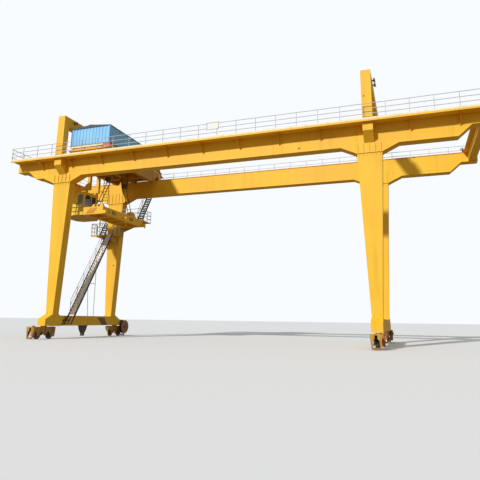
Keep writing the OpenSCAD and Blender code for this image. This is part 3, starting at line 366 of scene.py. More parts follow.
otherFinish = {"hoist_beams": "stainedBrown"}    # pieces dirtier than the rest of their slot


def makeFinishes():
    for name, look in plainFinishes.items():
        materialsMade[name] = weatheredPaint(name, look)
    for name, look in bareSteel.items():
        materialsMade[name] = wornSteel(name, look)
    materialsMade["house_blue"] = coatedSheet("house_blue", sheeting)
    materialsMade["cab_window"] = tintedGlass("cab_window")
    for part in frame["record"]["subparts"]:
        piece = nodes[part["node"]]
        piece.data.materials.clear()
        piece.data.materials.append(materialsMade[otherFinish.get(part["node"], part["material_slot"])])
    print("finishes made:", len(materialsMade))


# Modelling tools: a piece starts as a primitive and is shaped in edit mode

smoothTo = math.radians(35)         # edges sharper than this stay sharp


def letGo():
    bpy.ops.object.select_all(action="DESELECT")


def takeUp(piece):
    letGo()
    piece.select_set(True)
    bpy.context.view_layer.objects.active = piece


def settled(name):
    piece = bpy.context.object
    piece.name = name
    bpy.ops.object.transform_apply(location=True, rotation=True, scale=True)
    return piece


def startBox(name, first, second):
    # first and second are any two opposite corners
    letGo()
    low = Vector(map(min, first, second))
    high = Vector(map(max, first, second))
    bpy.ops.mesh.primitive_cube_add(size=1, location=(low + high) / 2, scale=high - low)
    return settled(name)


axisTurns = {"X": (0, math.pi / 2, 0), "Y": (math.pi / 2, 0, 0), "Z": (0, 0, 0)}


def startRod(name, middle, axis, radius, length, sides=24):
    letGo()
    bpy.ops.mesh.primitive_cylinder_add(vertices=sides, radius=radius, depth=length,
                                        location=middle, rotation=axisTurns[axis])
    return settled(name)


def openUp(piece):
    takeUp(piece)
    bpy.ops.object.mode_set(mode="EDIT")


def closeUp():
    bpy.ops.object.mode_set(mode="OBJECT")


def pick(kind, wanted):
    # in edit mode: selects the faces or edges that are wanted, by middle and by normal or direction
    bpy.ops.mesh.select_mode(type=kind)
    bpy.ops.mesh.select_all(action="DESELECT")
    mesh = bpy.context.object.data
    shape = bmesh.from_edit_mesh(mesh)
    for face in shape.faces if kind == "FACE" else []:
        face.select_set(wanted(face.calc_center_median(), face.normal))
    for edge in shape.edges if kind == "EDGE" else []:
        ends = [vert.co for vert in edge.verts]
        edge.select_set(wanted((ends[0] + ends[1]) / 2, (ends[1] - ends[0]).normalized()))
    bmesh.update_edit_mesh(mesh)


def extrude(*by):
    bpy.ops.mesh.extrude_region_move(TRANSFORM_OT_translate={"value": by})


def shift(*by):
    bpy.ops.transform.translate(value=by)


def inset(width):
    bpy.ops.mesh.inset(thickness=width)


def bevel(width, segments=1):
    bpy.ops.mesh.bevel(offset=width, segments=segments)


def cut(through, normal):
    # an edge loop round the whole piece, in the plane through that point
    bpy.ops.mesh.select_all(action="SELECT")
    bpy.ops.mesh.bisect(plane_co=through, plane_no=normal)


def softened(piece, width, segments=2):
    takeUp(piece)
    edge = piece.modifiers.new("softEdges", "BEVEL")
    edge.width = width
    edge.segments = segments
    edge.limit_method = "ANGLE"
    bpy.ops.object.modifier_apply(modifier=edge.name)
    return piece


def joined(name, pieces):
    takeUp(pieces[0])
    for piece in pieces:
        piece.select_set(True)
    if len(pieces) > 1:
        bpy.ops.object.join()
    pieces[0].name = name
    return pieces[0]


def repeated(piece, places):
    # a copy with its own mesh at each place, joined into one piece
    copies = []
    for place in places:
        copy = piece.copy()
        copy.data = piece.data.copy()
        copy.data.transform(place)
        if place.determinant() < 0:
            copy.data.flip_normals()
        bpy.context.scene.collection.objects.link(copy)
        copies.append(copy)
    name = piece.name
    bpy.data.objects.remove(piece)
    return joined(name, copies)


def moved(*by):
    return Matrix.Translation(by)


def carried(piece, body, finish):
    takeUp(piece)
    bpy.ops.object.shade_smooth_by_angle(angle=smoothTo)
    piece.data.materials.clear()
    piece.data.materials.append(materialsMade[finish])
    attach(piece, body)
    return piece


def middleOf(node):
    low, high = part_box(node)
    return (Vector(low) + Vector(high)) / 2


# Walkways and rails

kickStrips = {
    "above": 0.07,                 # metres over the walkway's edge
    "below": 0.05,
    "thickness": 0.006,
    "lip": 0.03,                   # turned in along the top
    "hatch": (-10.70, -9.40),      # left open on the far side, where the stair arrives
    # cream as a painted highlight of the walkway's sunlit edge
    "finish": "creamAndHighlight",
}


def makeKickStrips(look):
    strips = []
    for side in ("near", "far"):
        low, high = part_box("walkway_" + side)
        outer, inward = (low[1], 1) if side == "near" else (high[1], -1)
        spans = [(low[0], high[0])]
        if side == "far":
            spans = [(low[0], look["hatch"][0]), (look["hatch"][1], high[0])]
        for start, end in spans:
            foot = high[2] - look["below"]
            top = high[2] + look["above"]
            strip = startBox("kickStrip", (start, outer - look["thickness"], foot),
                             (end, outer, top))
            openUp(strip)
            cut((0, 0, top - look["thickness"]), (0, 0, 1))
            pick("FACE", lambda at, normal: normal.y * inward > 0.9 and at.z > top - look["thickness"])
            extrude(0, inward * look["lip"], 0)
            closeUp()
            strips.append(strip)
    carried(joined("kickStrips", strips), "portal", look["finish"])


railFoot = 0.045                    # half the trolley rail's width at its foot
railClips = {
    "pitch": 0.78,
    "length": 0.08,
    "width": 0.06,
    "height": 0.034,
    "overlap": 0.012,               # over the rail's foot
    "bolt": 0.013,
    "finish": "bareBolt",
}


def makeRailClips(look):
    low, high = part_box("trolley_rails")
    rail = high[1] - railFoot
    start = railFoot - look["overlap"]
    clip = startBox("railClips", (-look["length"] / 2, start, low[2]),
                    (look["length"] / 2, start + look["width"], low[2] + look["height"]))
    openUp(clip)
    pick("EDGE", lambda at, along: abs(along.x) > 0.9 and at.z > low[2] + 0.01 and at.y > railFoot)
    bevel(look["height"] * 0.6)
    closeUp()
    bolt = startRod("bolt", (0, railFoot + 0.016, low[2] + look["height"]), "Z", look["bolt"], 0.03, 6)
    clip = joined("railClips", [clip, bolt])
    count = int((high[0] - low[0]) / look["pitch"])
    places = []
    for number in range(count):
        x = low[0] + (number + 0.5) * (high[0] - low[0]) / count
        for side in (-1, 1):
            places.append(moved(x, side * rail, 0))
            places.append(moved(x, side * rail, 0) @ Matrix.Rotation(math.pi, 4, "Z"))
    carried(repeated(clip, places), "portal", look["finish"])


buffers = {
    "radius": 0.075,
    "length": 0.12,
    "height": 0.21,                 # over the rail's top
    "stopDepth": 0.33,              # from a stop's outer end to its face
    "finish": "blackRubber",
}


def makeBuffers(look):
    low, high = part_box("rail_stops")
    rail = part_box("trolley_rails")[1]
    for name, end, inward in (("Left", low[0], 1), ("Right", high[0], -1)):
        middle = end + inward * (look["stopDepth"] + look["length"] / 2)
        block = startRod("buffers" + name, (middle, 0, rail[2] + look["height"]), "X",
                         look["radius"], look["length"])
        openUp(block)
        pick("FACE", lambda at, normal: normal.x * inward > 0.9)
        inset(look["radius"] * 0.35)
        extrude(inward * 0.02, 0, 0)
        closeUp()
        softened(block, 0.008)
        sides = [moved(0, side * (rail[1] - railFoot), 0) for side in (-1, 1)]
        carried(repeated(block, sides), "portal", look["finish"])


# Bolts of the leg joints

jointBolts = {
    "radius": 0.018,
    "thickness": 0.015,
    "fromEdge": 0.024,
    "pairs": (-0.518, -0.259, 0.0, 0.259, 0.518),   # metres from the leg's middle, between the gussets
    "spread": 0.055,
    "plate": 0.03,                  # the leg's own joint plate
    "plates": 0.055,                # the joint's two plates together
    "finish": "bareBolt",
}


def makeJointBolts(look):
    deep = look["thickness"]
    head = startRod("jointBolts", (0, 0, -deep / 2), "Z", look["radius"], deep, 6)
    washer = startRod("washer", (0, 0, -0.002), "Z", look["radius"] * 1.3, 0.004, 12)
    head = joined("jointBolts", [head, washer])
    openUp(head)
    pick("FACE", lambda at, normal: normal.z < -0.9 and at.z < -deep * 0.9)
    bevel(deep * 0.2)
    closeUp()
    places = []
    upsideDown = Matrix.Rotation(math.pi, 4, "X")
    for leg in ("near_left", "far_left", "near_right", "far_right"):
        low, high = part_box("leg_" + leg)
        middle = (low[0] + high[0]) / 2
        under = high[2] - look["plate"]
        for y in (low[1] + look["fromEdge"], high[1] - look["fromEdge"]):
            for pair in look["pairs"]:
                for step in (-look["spread"], look["spread"]):
                    places.append(moved(middle + pair + step, y, under))
                    places.append(moved(middle + pair + step, y, under + look["plates"]) @ upsideDown)
    carried(repeated(head, places), "portal", look["finish"])


# Saddle lamps

lamps = {
    "places": ((10.635, -3.52), (10.635, -2.86), (-12.615, -3.50)),   # X of the beam's face, and Y
    "under": 0.10,                  # metres below the saddle's top
    "size": (0.16, 0.26, 0.20),
    "stand": 0.07,
    "rim": 0.022,                   # from a lamp's outside to its glass
    "finish": "lampBlack",
    "glassFinish": "lampGlass",
}


def makeLamps(look):
    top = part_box("saddle_left")[1][2] - look["under"]
    deep, wide, tall = look["size"]
    lampBodies = []
    glasses = []
    for x, y in look["places"]:
        near = x + look["stand"]
        lamp = startBox("lampBody", (near, y - wide / 2, top - tall), (near + deep, y + wide / 2, top))
        openUp(lamp)
        pick("FACE", lambda at, normal: normal.z < -0.9)
        inset(0.02)
        extrude(0, 0, 0.03)
        pick("FACE", lambda at, normal: normal.z > 0.9)
        bpy.ops.transform.resize(value=(0.55, 0.8, 1))
        closeUp()
        arm = startBox("lampArm", (x - 0.005, y - 0.03, top - tall * 0.7),
                       (near + 0.01, y + 0.03, top - tall * 0.4))
        plate = startBox("lampPlate", (x - 0.001, y - 0.07, top - tall), (x + 0.012, y + 0.07, top - 0.02))
        lampBodies += [softened(lamp, 0.008), arm, softened(plate, 0.004)]
        rim = look["rim"]
        glass = startBox("glass", (near + rim, y - wide / 2 + rim, top - tall + 0.008),
                         (near + deep - rim, y + wide / 2 - rim, top - tall + rim))
        openUp(glass)
        pick("FACE", lambda at, normal: normal.z < -0.9)
        inset(0.02)
        shift(0, 0, -0.006)
        closeUp()
        glasses.append(glass)
    carried(joined("saddleLamps", lampBodies), "portal", look["finish"])
    carried(joined("saddleLampGlass", glasses), "portal", look["glassFinish"])


# Pale floodlight on the far girder's right end

endLamp = {
    "place": (16.38, 3.40),         # X and Y of its foot, beside the rail stop
    "stand": 0.16,                  # height of the fork over the deck
    "radius": 0.13,
    "depth": 0.16,
    "plate": 0.012,                 # thickness of the fork and the foot
    "finish": "lampGlass",
    "standFinish": "lampBlack",
}


def makeEndLamp(look):
    x, y = look["place"]
    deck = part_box("girder_far")[1][2]
    middle = deck + look["stand"] + look["radius"]
    shell = startRod("endLamp", (x, y, middle), "X", look["radius"], look["depth"], 32)
    openUp(shell)
    pick("FACE", lambda at, normal: normal.x > 0.9)
    bevel(0.04, 3)
    pick("FACE", lambda at, normal: normal.x < -0.9)
    inset(0.014)
    extrude(0.02, 0, 0)
    closeUp()
    carried(shell, "portal", look["finish"])
    half = look["radius"] + look["plate"]
    low = deck + look["stand"] * 0.5
    fork = startBox("endLampFork", (x - 0.02, y - half, low), (x + 0.02, y + half, low + look["plate"]))
    openUp(fork)
    for side in (-1, 1):
        cut((0, y + side * (half - look["plate"]), 0), (0, 1, 0))
    pick("FACE", lambda at, normal: normal.z > 0.9 and abs(at.y - y) > half - look["plate"])
    extrude(0, 0, middle - low + 0.03)
    closeUp()
    stem = startRod("endLampStem", (x, y, deck + look["stand"] * 0.26), "Z", 0.018, look["stand"] * 0.52, 12)
    foot = startBox("endLampFoot", (x - 0.05, y - 0.05, deck), (x + 0.05, y + 0.05, deck + look["plate"]))
    pieces = [softened(fork, 0.002), stem, softened(foot, 0.003)]
    carried(joined("endLampFork", pieces), "portal", look["standFinish"])


# Machine house trim

houseTrim = {
    "corner": 0.10,                 # width of a corner flashing
    "standOut": 0.004,
    "footHeight": 0.035,
    "footOut": 0.014,
    "stripHeight": 0.12,            # pale skirt under the walls
    "skirtOut": 0.012,
    "support": 0.06,                # width of a support, at each X of supports
    "supports": (-12.10, -11.12, -10.0, -9.55),
    "deck": 14.34,                  # Z of the trolley's deck
    "band": 3.94,                   # Y of the band that the house stands on
    "ridge": 0.16,                  # half the ridge cap's width
    "seamPitch": 0.62,
    "cornerFinish": "cornerShadeBlue",
    "footFinish": "roof_dark",
    "stripFinish": "creamAndHighlight",
}


def makeHouseTrim(look):
    low, high = (Vector(corner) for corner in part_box("house_walls"))
    out = look["standOut"]
    corners = []
    # corner flashings in a darker blue, which is partly painted shade for a post's shadow on the near wall
    for x, towardX in ((low.x, 1), (high.x, -1)):
        for y, towardY in ((low.y, 1), (high.y, -1)):
            post = startBox("corner", (x - towardX * out, y - towardY * out, low.z + look["footHeight"]),
                            (x + towardX * look["corner"], y + towardY * look["corner"], high.z - 0.002))
            corners.append(softened(post, 0.006))
    carried(joined("houseCorners", corners), "trolley", look["cornerFinish"])

    feet = []
    strips = []
    footOut = look["footOut"]
    half = look["support"] / 2
    for y, side in ((low.y, -1), (high.y, 1)):
        feet.append(startBox("foot", (low.x - footOut, y, low.z),
                             (high.x + footOut, y + side * footOut, low.z + look["footHeight"])))
        skirtFoot = low.z - look["stripHeight"]
        skirt = startBox("strip", (low.x, y, skirtFoot), (high.x, y + side * look["skirtOut"], low.z))
        openUp(skirt)
        pick("FACE", lambda at, normal: normal.z < -0.9)
        extrude(0, 0, -0.008)
        pick("FACE", lambda at, normal: normal.y * side < -0.9 and at.z < skirtFoot)
        extrude(0, -side * 0.05, 0)
        closeUp()
        strips.append(skirt)
        for x in look["supports"]:
            root = side * (look["band"] - 0.002)
            bracket = startBox("support", (x - half, root, look["deck"]), (x + half, y, skirtFoot))
            openUp(bracket)
            pick("EDGE", lambda at, along: (abs(along.x) > 0.9 and at.z < look["deck"] + 0.01
                                            and at.y * side > look["band"]))
            bevel(half)
            closeUp()
            feet.append(bracket)
    for x, side in ((low.x, -1), (high.x, 1)):
        feet.append(startBox("foot", (x, low.y, low.z),
                             (x + side * footOut, high.y, low.z + look["footHeight"])))
    carried(joined("houseFoot", feet), "trolley", look["footFinish"])
    carried(joined("houseStrip", strips), "trolley", look["stripFinish"])


def makeRoofSeams(look):
    low, high = (Vector(corner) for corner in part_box("house_roof"))
    middle = (low.x + high.x) / 2
    eave = 0.025
    rise = high.z - low.z - eave
    slope = rise / (high.x - middle)
    count = round((high.y - low.y) / look["seamPitch"])
    seam = startBox("roofSeams", (middle, -0.012, high.z - 0.02), (high.x, 0.012, high.z + 0.009))
    openUp(seam)
    pick("FACE", lambda at, normal: normal.x > 0.9)
    shift(0, 0, -rise)
    closeUp()
    places = []
    for number in range(1, count):
        y = low.y + number * (high.y - low.y) / count
        places.append(moved(0, y, 0))
        places.append(moved(middle, y, 0) @ Matrix.Rotation(math.pi, 4, "Z") @ moved(-middle, 0, 0))
    seams = repeated(seam, places)
    cap = startBox("ridgeCap", (middle - look["ridge"], low.y - 0.004, high.z - 0.004),
                   (middle + look["ridge"], high.y + 0.004, high.z + 0.012))
    openUp(cap)
    cut((middle, 0, 0), (1, 0, 0))
    pick("FACE", lambda at, normal: abs(normal.x) > 0.9)
    shift(0, 0, -look["ridge"] * slope)
    closeUp()
    carried(joined("roofSeams", [seams, cap]), "trolley", look["footFinish"])


# Cab windows

cabWindows = {
    "panes": (                      # face, lowest and highest corner, radius of the upper corners
        ("Y", (-13.10, -1.70, 10.58), (-12.60, -1.70, 11.39), 0.03),
        ("X", (-12.485, -0.74, 10.58), (-12.485, -0.20, 11.39), 0.03),
        ("X", (-12.485, -1.59, 10.52), (-12.485, -0.82, 11.42), 0.33),
        ("X", (-13.835, -1.50, 10.53), (-13.835, -0.80, 11.36), 0.03),
    ),
    "width": 0.045,
    "standOut": 0.022,
    "finish": "frameCream",
}


def makeWindowFrames(look):
    cab = middleOf("cab_shell")
    frames = []
    for face, low, high, corner in look["panes"]:
        low = Vector(low)
        high = Vector(high)
        across = 0 if face == "X" else 1
        outward = 1 if low[across] > cab[across] else -1
        for axis in range(3):
            if axis != across:
                low[axis] -= look["width"]
                high[axis] += look["width"]
        wall = low[across]
        low[across] = wall - outward * 0.01
        high[across] = wall + outward * look["standOut"]
        surround = startBox("windowFrame", low, high)
        openUp(surround)
        pick("EDGE", lambda at, along: abs(along[across]) > 0.9 and at.z > high.z - 0.01)
        bevel(corner + look["width"], 8)
        pick("FACE", lambda at, normal: abs(normal[across]) > 0.9)
        inset(look["width"] - 0.004)
        bpy.ops.mesh.bridge_edge_loops()
        closeUp()
        frames.append(softened(surround, 0.005, 1))
    carried(joined("windowFrames", frames), "trolley", look["finish"])


# Loop rails, bent from tube

loopRails = {
    "radius": 0.019,
    "bend": 0.16,
    "atGallery": {"y": -2.12, "x": (-12.90, -12.50), "z": (9.58, 10.36)},
    "atLanding": {"x": -14.175, "y": (1.92, 2.62), "z": (8.65, 9.72)},
    "finish": "frameCream",
}


def bentTube(name, points, look):
    curve = bpy.data.curves.new(name, "CURVE")
    curve.dimensions = "3D"
    curve.bevel_depth = look["radius"]
    curve.bevel_resolution = 2
    curve.use_fill_caps = True
    line = curve.splines.new("POLY")
    line.points.add(len(points) - 1)
    for point, at in zip(line.points, points):
        point.co = (*at, 1)
    tube = bpy.data.objects.new(name, curve)
    bpy.context.scene.collection.objects.link(tube)
    takeUp(tube)
    bpy.ops.object.convert(target="MESH")
    return bpy.context.object


def loopPoints(start, end, foot, top, bend):
    # up, round a bend, along, round the other bend and down: as (along, up) pairs
    points = [(start, foot)]
    for step in range(7):
        angle = math.radians(15 * step)
        points.append((start + bend - bend * math.cos(angle), top - bend + bend * math.sin(angle)))
    for step in range(7):
        angle = math.radians(90 - 15 * step)
        points.append((end - bend + bend * math.cos(angle), top - bend + bend * math.sin(angle)))
    return points + [(end, foot)]


def makeLoopRails(look):
    spot = look["atGallery"]
    pairs = loopPoints(*spot["x"], *spot["z"], look["bend"])
    tube = bentTube("galleryLoop", [(x, spot["y"], z) for x, z in pairs], look)
    carried(tube, "trolley", look["finish"])
    spot = look["atLanding"]
    pairs = loopPoints(*spot["y"], *spot["z"], look["bend"])
    tube = bentTube("landingLoop", [(spot["x"], y, z) for y, z in pairs], look)
    carried(tube, "portal", look["finish"])


# Travel drives and bogies

corners = (("near_left", -1, -1), ("far_left", -1, 1), ("near_right", 1, -1), ("far_right", 1, 1))
bogieFittings = {
    "motorOut": 0.348,              # motor's axis from the bogie's middle plane
    "motorFoot": 0.53,
    "motorTop": 0.82,
    "motorRadius": 0.095,
    "fins": 18,
    "finDepth": 0.018,
    "finThickness": 0.006,
    "cowlMiddle": 0.055,            # over the motor's top
    "cowlHeight": 0.09,
    "box": (0.075, 0.13, 0.15),     # terminal box, outward, along the rail and upright
    "keeperOut": 0.208,             # face of the bearing blocks
    "keeper": (0.012, 0.085, 0.03),  # thickness, and half its length and height
    "keeperBolt": 0.014,            # radius, and length
    "keeperBolts": (-0.06, 0.06),
    "axleHeight": 0.30,
    "sweepFoot": 0.14,
    "sweepTop": 0.80,
    "sweepWidth": 0.34,
    "sweepDepth": 0.045,
    "finish": "drive_brown",
    "boltFinish": "bareBolt",
    "keeperFinish": "bogie_yellow",
    "guardFinish": "guardPale",
}


def makeMotorFittings(look):
    for corner, towardX, towardY in corners:
        wheel = middleOf("driven_wheel_" + corner)
        bogieX = middleOf("bogie_" + corner).x
        x = bogieX + towardX * look["motorOut"]
        tall = look["motorTop"] - look["motorFoot"]
        mid = (look["motorTop"] + look["motorFoot"]) / 2
        outer = look["motorRadius"] + look["finDepth"]
        fin = startBox("motorFins", (look["motorRadius"] - 0.004, -look["finThickness"] / 2, mid - tall / 2),
                       (outer, look["finThickness"] / 2, mid + tall / 2))
        places = [moved(x, wheel.y, 0) @ Matrix.Rotation(2 * math.pi * k / look["fins"], 4, "Z")
                  for k in range(look["fins"])]
        fins = repeated(fin, places)
        cowl = startRod("motorCowl", (x, wheel.y, look["motorTop"] + look["cowlMiddle"]), "Z",
                        outer, look["cowlHeight"], 32)
        openUp(cowl)
        pick("FACE", lambda at, normal: normal.z > 0.9)
        inset(0.022)
        extrude(0, 0, 0.012)
        inset(0.03)
        shift(0, 0, -0.02)
        closeUp()
        softened(cowl, 0.006)
        deep, wide, high = look["box"]
        nearX = x + towardX * (look["motorRadius"] - 0.01)
        box = startBox("terminalBox", (nearX, wheel.y - wide / 2, mid - high / 2),
                       (nearX + towardX * deep, wheel.y + wide / 2, mid + high / 2))
        openUp(box)
        pick("FACE", lambda at, normal: normal.x * towardX > 0.9)
        inset(0.014)
        extrude(towardX * 0.008, 0, 0)
        closeUp()
        softened(box, 0.006)
        carried(joined("motorFittings_" + corner, [fins, cowl, box]), "bogie_" + corner, look["finish"])


def makeKeepers(look):
    # a keeper plate with two bolts over each free end of an axle
    thick, half, tall = look["keeper"]
    for corner, towardX, towardY in corners:
        bogieX = middleOf("bogie_" + corner).x
        plates = []
        ends = []
        for wheel, sides in (("idle_wheel_", (-1, 1)), ("driven_wheel_", (-towardX,))):
            y = middleOf(wheel + corner).y
            for side in sides:
                face = bogieX + side * look["keeperOut"]
                out = face + side * thick
                keeper = startBox("keeper", (face, y - half, look["axleHeight"] - tall),
                                  (out, y + half, look["axleHeight"] + tall))
                openUp(keeper)
                pick("EDGE", lambda at, along: abs(along.x) > 0.9)
                bevel(0.02, 2)
                closeUp()
                plates.append(keeper)
                for step in look["keeperBolts"]:
                    ends.append(startRod("keeperBolt", (out + side * thick / 2, y + step, look["axleHeight"]),
                                         "X", look["keeperBolt"], look["keeperBolt"], 6))
        carried(joined("axleKeepers_" + corner, plates), "bogie_" + corner, look["keeperFinish"])
        carried(joined("keeperBolts_" + corner, ends), "bogie_" + corner, look["boltFinish"])


def makeRailSweeps(look):
    # a plate ahead of each inner wheel that clears the rail
    for corner, towardX, towardY in corners:
        low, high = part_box("bogie_" + corner)
        bogieX = (low[0] + high[0]) / 2
        inner = low[1] if towardY > 0 else high[1]
        half = look["sweepWidth"] / 2
        sweep = startBox("railSweep_" + corner, (bogieX - half, inner, look["sweepFoot"]),
                         (bogieX + half, inner - towardY * look["sweepDepth"], look["sweepTop"]))
        openUp(sweep)
        pick("FACE", lambda at, normal: normal.z < -0.9)
        bpy.ops.transform.resize(value=(0.55, 1, 1))
        pick("FACE", lambda at, normal: normal.y * towardY < -0.9)
        inset(0.03)
        shift(0, towardY * 0.025, 0)
        closeUp()
        softened(sweep, 0.006)
        carried(sweep, "bogie_" + corner, look["guardFinish"])


# Cable reel

reelCable = {
    "centre": (5.14, 0.78),         # Y and Z of the drum's axis
    "between": (-12.483, -12.287),  # X of the flanges' inner faces
    "drum": 0.48,
    "cable": 0.022,                 # the cable's radius
    "bolts": 8,
    "boltCircle": 0.085,
    "finish": "blackRubber",
    "boltFinish": "bareBolt",
}


def makeReelCable(look):
    y, z = look["centre"]
    start, end = look["between"]
    r = look["cable"]
    turns = int((end - start) / (2.05 * r))
    pitch = (end - start) / turns
    places = []
    letGo()
    bpy.ops.mesh.primitive_torus_add(major_radius=look["drum"] + r, minor_radius=r, major_segments=64,
                                     minor_segments=8, location=(0, 0, 0), rotation=(0, math.pi / 2, 0))
    turn = settled("reelCable")
    for k in range(turns):
        places.append(moved(start + (k + 0.5) * pitch, y, z))
    for k in range(turns - 1):
        bigger = 1 + 1.75 * r / (look["drum"] + r)
        places.append(moved(start + (k + 1) * pitch, y, z) @ Matrix.Diagonal((1, bigger, bigger, 1)))
    carried(repeated(turn, places), "portal", look["finish"])
    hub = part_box("cable_reel")[1][0]
    bolt = startRod("reelBolts", (0, 0, 0), "X", 0.012, 0.02, 6)
    places = []
    for k in range(look["bolts"]):
        angle = 2 * math.pi * k / look["bolts"]
        places.append(moved(hub + 0.004, y + look["boltCircle"] * math.cos(angle),
                            z + look["boltCircle"] * math.sin(angle)))
    carried(repeated(bolt, places), "portal", look["boltFinish"])


# Trolley drives and rope sheaves

trolleyDrives = {
    "motor": {"from": -9.27, "to": -8.64, "y": 3.985, "z": 14.145, "radius": 0.118},
    "gearLow": (-9.33, 3.846, 13.84),
    "gearHigh": (-9.00, 4.11, 14.27),
    "fins": 16,
    "brakeLow": (-9.35, 3.975, 14.25),
    "brakeHigh": (-8.73, 4.10, 14.59),
    "finish": "drive_brown",
    "brakeFinish": "drive_brown",
}


def makeTrolleyDrives(look):
    motor = look["motor"]
    pieces = []
    brakes = []
    for side in (-1, 1):
        length = motor["to"] - motor["from"]
        middle = ((motor["from"] + motor["to"]) / 2, side * motor["y"], motor["z"])
        shell = startRod("trolleyMotor", middle, "X", motor["radius"], length, 32)
        openUp(shell)
        pick("FACE", lambda at, normal: normal.x > 0.9)
        inset(0.03)
        extrude(0.015, 0, 0)
        closeUp()
        fin = startBox("fin", (middle[0] - length * 0.12, -0.003, 0),
                       (middle[0] + length * 0.38, 0.003, motor["radius"] + 0.012))
        turns = [moved(0, middle[1], middle[2]) @ Matrix.Rotation(2 * math.pi * k / look["fins"], 4, "X")
                 for k in range(look["fins"])]
        gear, brake = (startBox(name, (low[0], side * low[1], low[2]), (high[0], side * high[1], high[2]))
                       for name, low, high in (("gearbox", look["gearLow"], look["gearHigh"]),
                                               ("brake", look["brakeLow"], look["brakeHigh"])))
        pieces += [softened(shell, 0.008), repeated(fin, turns), softened(gear, 0.03)]
        openUp(brake)
        pick("EDGE", lambda at, along: abs(along.y) > 0.9 and at.z > look["brakeHigh"][2] - 0.01)
        bevel(0.07, 4)
        pick("FACE", lambda at, normal: normal.y * side > 0.9)
        inset(0.035)
        shift(0, -side * 0.012, 0)
        closeUp()
        brakes.append(softened(brake, 0.006))
    carried(joined("trolleyDrives", pieces), "trolley", look["finish"])
    carried(joined("trolleyBrakes", brakes), "trolley", look["brakeFinish"])


sheaves = {
    "radius": 0.24,
    "thickness": 0.055,
    "groove": 0.03,
    "ropeX": 0.15,                  # from the trolley's middle
    "upper": {"y": 1.15, "z": 12.62},
    "lower": {"y": 2.30, "z": 10.06},
    "finish": "dark_iron",
}


def makeSheaves(look):
    middle = middleOf("spreader").x
    for name, body in (("upper", "trolley"), ("lower", "spreader")):
        disc = startRod(name + "Sheaves", (0, 0, 0), "X", look["radius"], look["thickness"], 40)
        openUp(disc)
        pick("FACE", lambda at, normal: abs(normal.x) > 0.9)
        inset(look["groove"])
        inset(0.05)
        bpy.ops.transform.resize(value=(0.5, 1, 1))
        pick("FACE", lambda at, normal: abs(normal.x) < 0.1)
        inset(0.012)
        bpy.ops.transform.resize(value=(1, 0.93, 0.93))
        closeUp()
        spot = look[name]
        places = [moved(middle + x, y, spot["z"]) for x in (-look["ropeX"], look["ropeX"])
                  for y in (-spot["y"], spot["y"])]
        carried(repeated(disc, places), body, look["finish"])


# Spreader plates

spreaderPlates = {
    "face": -9.725,                 # X of the beam's outer side
    "patches": ((-1.73, -1.14, 9.52, 9.80), (0.81, 1.37, 9.54, 9.82)),
    "thickness": 0.008,
    "end": 2.9415,
    "band": ((-11.30, -10.62), (9.42, 9.86)),   # slanted band on the near end, in X and in Z
    "lean": 0.42,
    "patchFinish": "stainedBrown",
    "bandFinish": "orangeBand",
}


def makeSpreaderPlates(look):
    patches = []
    for y0, y1, z0, z1 in look["patches"]:
        patch = startBox("sidePatch", (look["face"] - 0.001, y0, z0),
                         (look["face"] + look["thickness"], y1, z1))
        patches.append(softened(patch, 0.003))
    carried(joined("spreaderPatches", patches), "spreader", look["patchFinish"])
    (x0, x1), (z0, z1) = look["band"]
    bands = []
    for side in (-1, 1):
        edge = side * look["end"]
        band = startBox("endBand", (x0, edge - side * 0.001, z0), (x1, edge + side * look["thickness"], z1))
        openUp(band)
        pick("FACE", lambda at, normal: normal.z > 0.9)
        shift(look["lean"], 0, 0)
        closeUp()
        bands.append(softened(band, 0.003))
    carried(joined("spreaderEndBands", bands), "spreader", look["bandFinish"])


# Cabinets on the lower landing

cabinetDoors = {
    "cabinets": ((-12.64, -12.31), (-12.26, -11.93)),
    "front": 2.93,
    "height": (8.65, 9.43),
    "margin": 0.025,
    "handle": 0.10,
    "handleIn": 0.06,               # from the cabinet's right edge
    "finish": "cab_yellow",
    "handleFinish": "bareBolt",
}


def makeCabinetDoors(look):
    doors = []
    handles = []
    foot, top = look["height"]
    for x0, x1 in look["cabinets"]:
        m = look["margin"]
        door = startBox("cabinetDoor", (x0 + m, look["front"] - 0.018, foot + m),
                        (x1 - m, look["front"] + 0.002, top - m))
        openUp(door)
        pick("FACE", lambda at, normal: normal.y < -0.9)
        inset(0.02)
        shift(0, 0.006, 0)
        closeUp()
        doors.append(softened(door, 0.004))
        middle = (foot + top) / 2
        x = x1 - look["handleIn"]
        handle = startRod("doorHandle", (x, look["front"] - 0.03, middle), "Z", 0.008, look["handle"], 12)
        for step in (-0.4, 0.4):
            end = (x, look["front"] - 0.02, middle + step * look["handle"])
            handles.append(startRod("doorHandle", end, "Y", 0.006, 0.03, 8))
        handles.append(softened(handle, 0.003))
    carried(joined("cabinetDoors", doors), "portal", look["finish"])
    carried(joined("doorHandles", handles), "portal", look["handleFinish"])


# Board on the near railing

boardEdge = {
    "width": 0.025,
    "depth": 0.012,
    "finish": "dark_iron",
}


def makeBoardEdge(look):
    low, high = (Vector(corner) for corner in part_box("board"))
    edge = startBox("boardEdge", (low.x - 0.006, low.y - look["depth"], low.z - 0.006),
                    (high.x + 0.006, low.y + 0.001, high.z + 0.006))
    openUp(edge)
    pick("FACE", lambda at, normal: abs(normal.y) > 0.9)
    inset(look["width"])
    bpy.ops.mesh.bridge_edge_loops()
    closeUp()
    carried(softened(edge, 0.002), "portal", look["finish"])


# Marks on the left sill

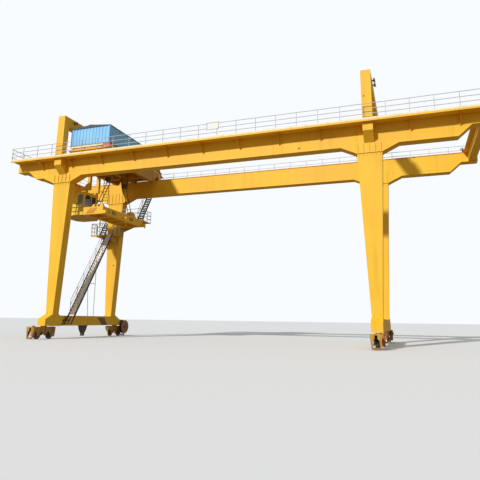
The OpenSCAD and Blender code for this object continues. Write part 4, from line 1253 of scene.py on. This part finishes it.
sillMarks = {
    "face": -12.585,                # X of the sill's inner side
    "foot": ((2.07, 2.84), 0.935),  # the slanted band's lower edge, in Y, and its Z
    "top": ((1.43, 2.36), 1.56),
    "thickness": 0.008,
    "lip": (-4.18, -3.11),          # pale plate under the sill, in Y
    "under": 0.92,
    "bandFinish": "darkBrownBand",
    "lipFinish": "creamAndHighlight",
}


def makeSillMarks(look):
    face = look["face"]
    (y0, y1), low = look["foot"]
    (topY0, topY1), high = look["top"]
    band = startBox("sillBand", (face - 0.001, y0, low), (face + look["thickness"], y1, high))
    openUp(band)
    pick("FACE", lambda at, normal: normal.z > 0.9)
    bpy.ops.transform.resize(value=(1, (topY1 - topY0) / (y1 - y0), 1))
    shift(0, (topY0 + topY1 - y0 - y1) / 2, 0)
    closeUp()
    carried(softened(band, 0.003), "portal", look["bandFinish"])
    start, end = look["lip"]
    lip = startBox("sillLip", (face - 0.06, start, look["under"] - 0.025), (face + 0.025, end, look["under"]))
    openUp(lip)
    pick("EDGE", lambda at, along: abs(along.z) > 0.9 and at.x > face)
    bevel(0.02, 3)
    closeUp()
    carried(softened(lip, 0.003), "portal", look["lipFinish"])


placeCamera(cameraView)
placeLight(daylight)
placeFloor(daylight)
makeFinishes()
makeKickStrips(kickStrips)
makeRailClips(railClips)
makeBuffers(buffers)
makeJointBolts(jointBolts)
makeLamps(lamps)
makeEndLamp(endLamp)
print("portal fitted")
makeHouseTrim(houseTrim)
makeRoofSeams(houseTrim)
makeWindowFrames(cabWindows)
makeLoopRails(loopRails)
makeTrolleyDrives(trolleyDrives)
makeSheaves(sheaves)
makeSpreaderPlates(spreaderPlates)
print("trolley and spreader fitted")
makeMotorFittings(bogieFittings)
makeKeepers(bogieFittings)
makeRailSweeps(bogieFittings)
makeReelCable(reelCable)
makeCabinetDoors(cabinetDoors)
makeBoardEdge(boardEdge)
makeSillMarks(sillMarks)
print("bogies, reel and cabinets fitted")

bpy.context.scene.view_settings.view_transform = "Standard"
print("crane dressed")
